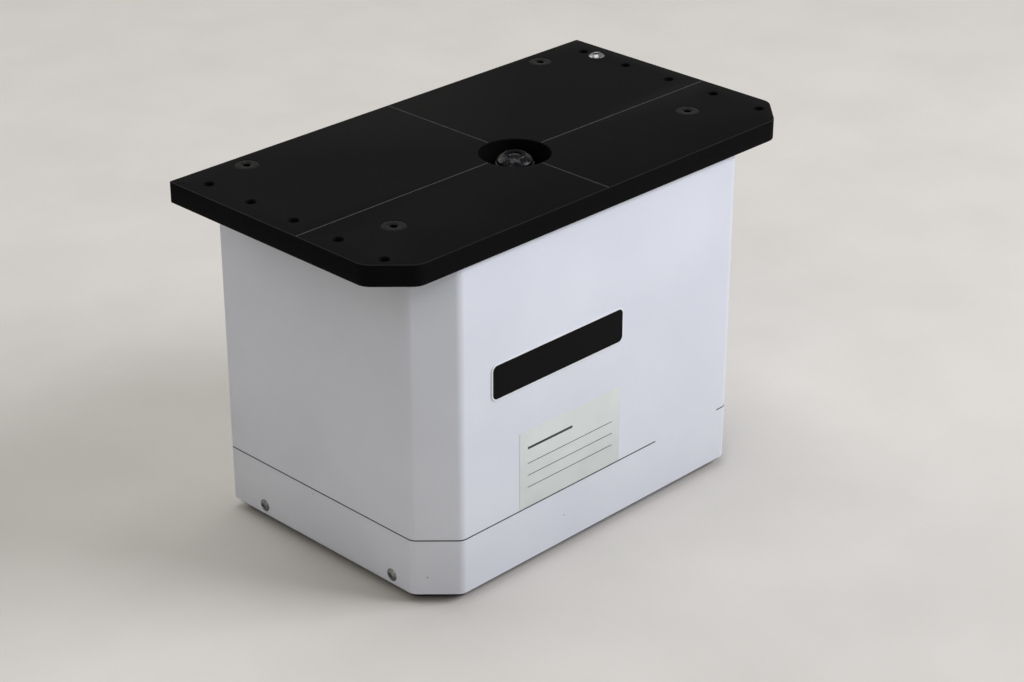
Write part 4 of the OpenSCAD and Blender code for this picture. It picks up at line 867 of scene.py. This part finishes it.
fill(bm, [lips[-1]])
shellFaces = set(bm.faces)
tongue = rectangle(*socket["tongue"], socket["tongueCorner"], x, z)
plate(bm, tongue, floor - socket["tongueRoot"], tip, e)
tongueFaces = set(bm.faces) - shellFaces
width, length, thick = socket["contact"]
for dx in (-socket["contactX"], socket["contactX"]):
    for side in (-1, 1):
        outline = rectangle(width, thick * 2, socket["contactCorner"], x + dx,
                            z + side * socket["tongue"][1] / 2, 2)
        end = tip - socket["contactBack"]
        plate(bm, outline, end - length, end, socket["contactEdge"])
for face in bm.faces:
    face.material_index = 0 if face in shellFaces else 1 if face in tongueFaces else 2
bmesh.ops.transform(bm, matrix=onBack, verts=bm.verts)
finishPiece(bm, "dataSocket", [stainless, mouldedPlastic, goldPlate], "chassis", ["usb_socket"])
print("objective and socket built")

# floor: pale warm-grey paper, barely mottled; half a metre away it starts to fade into the room's own colour
paper = {"half": 8.0, "fadeFrom": 0.45, "fadeTo": 1.8}
floorPaper = surface("floorPaper", {"IOR": 1.5, "Specular IOR Level": 0.1},
                     ("#d0ccc5", "#d5d1ca"), 60, 4, (0.85, 0.95))
tree = floorPaper.node_tree
kinds = {node.bl_idname: node for node in tree.nodes}
reach = addNode(tree, "ShaderNodeVectorMath", {"operation": "LENGTH"},
                {0: (kinds["ShaderNodeTexCoord"], "Object")})
away = addNode(tree, "ShaderNodeMapRange",
               {"interpolation_type": "SMOOTHSTEP", "From Min": paper["fadeFrom"],
                "From Max": paper["fadeTo"]}, {"Value": (reach, "Value")})
rays = addNode(tree, "ShaderNodeLightPath")
seen = addNode(tree, "ShaderNodeMath", {"operation": "MAXIMUM"},
               {0: (rays, "Is Camera Ray"), 1: (rays, "Is Glossy Ray")})
clear = addNode(tree, "ShaderNodeMath", {"operation": "MAXIMUM"},
                {0: (seen, 0), 1: (rays, "Is Transmission Ray")})
share = addNode(tree, "ShaderNodeMath", {"operation": "MULTIPLY"}, {0: (clear, 0), 1: (away, 0)})
haze = addNode(tree, "ShaderNodeEmission", {"Color": linear(room["seen"])})
blend = addNode(tree, "ShaderNodeMixShader", links={
    0: (share, 0), 1: (kinds["ShaderNodeBsdfPrincipled"], "BSDF"), 2: (haze, "Emission")})
link(tree, kinds["ShaderNodeOutputMaterial"], {"Surface": (blend, "Shader")})
corners = [(x * paper["half"], y * paper["half"], 0) for x, y in ((-1, -1), (1, -1), (1, 1), (-1, 1))]
floorMesh = bpy.data.meshes.new("floor")
floorMesh.from_pydata(corners, [], [(0, 1, 2, 3)])
floorMesh.materials.append(floorPaper)
ground = bpy.data.objects.new("floor", floorMesh)
bpy.context.scene.collection.objects.link(ground)
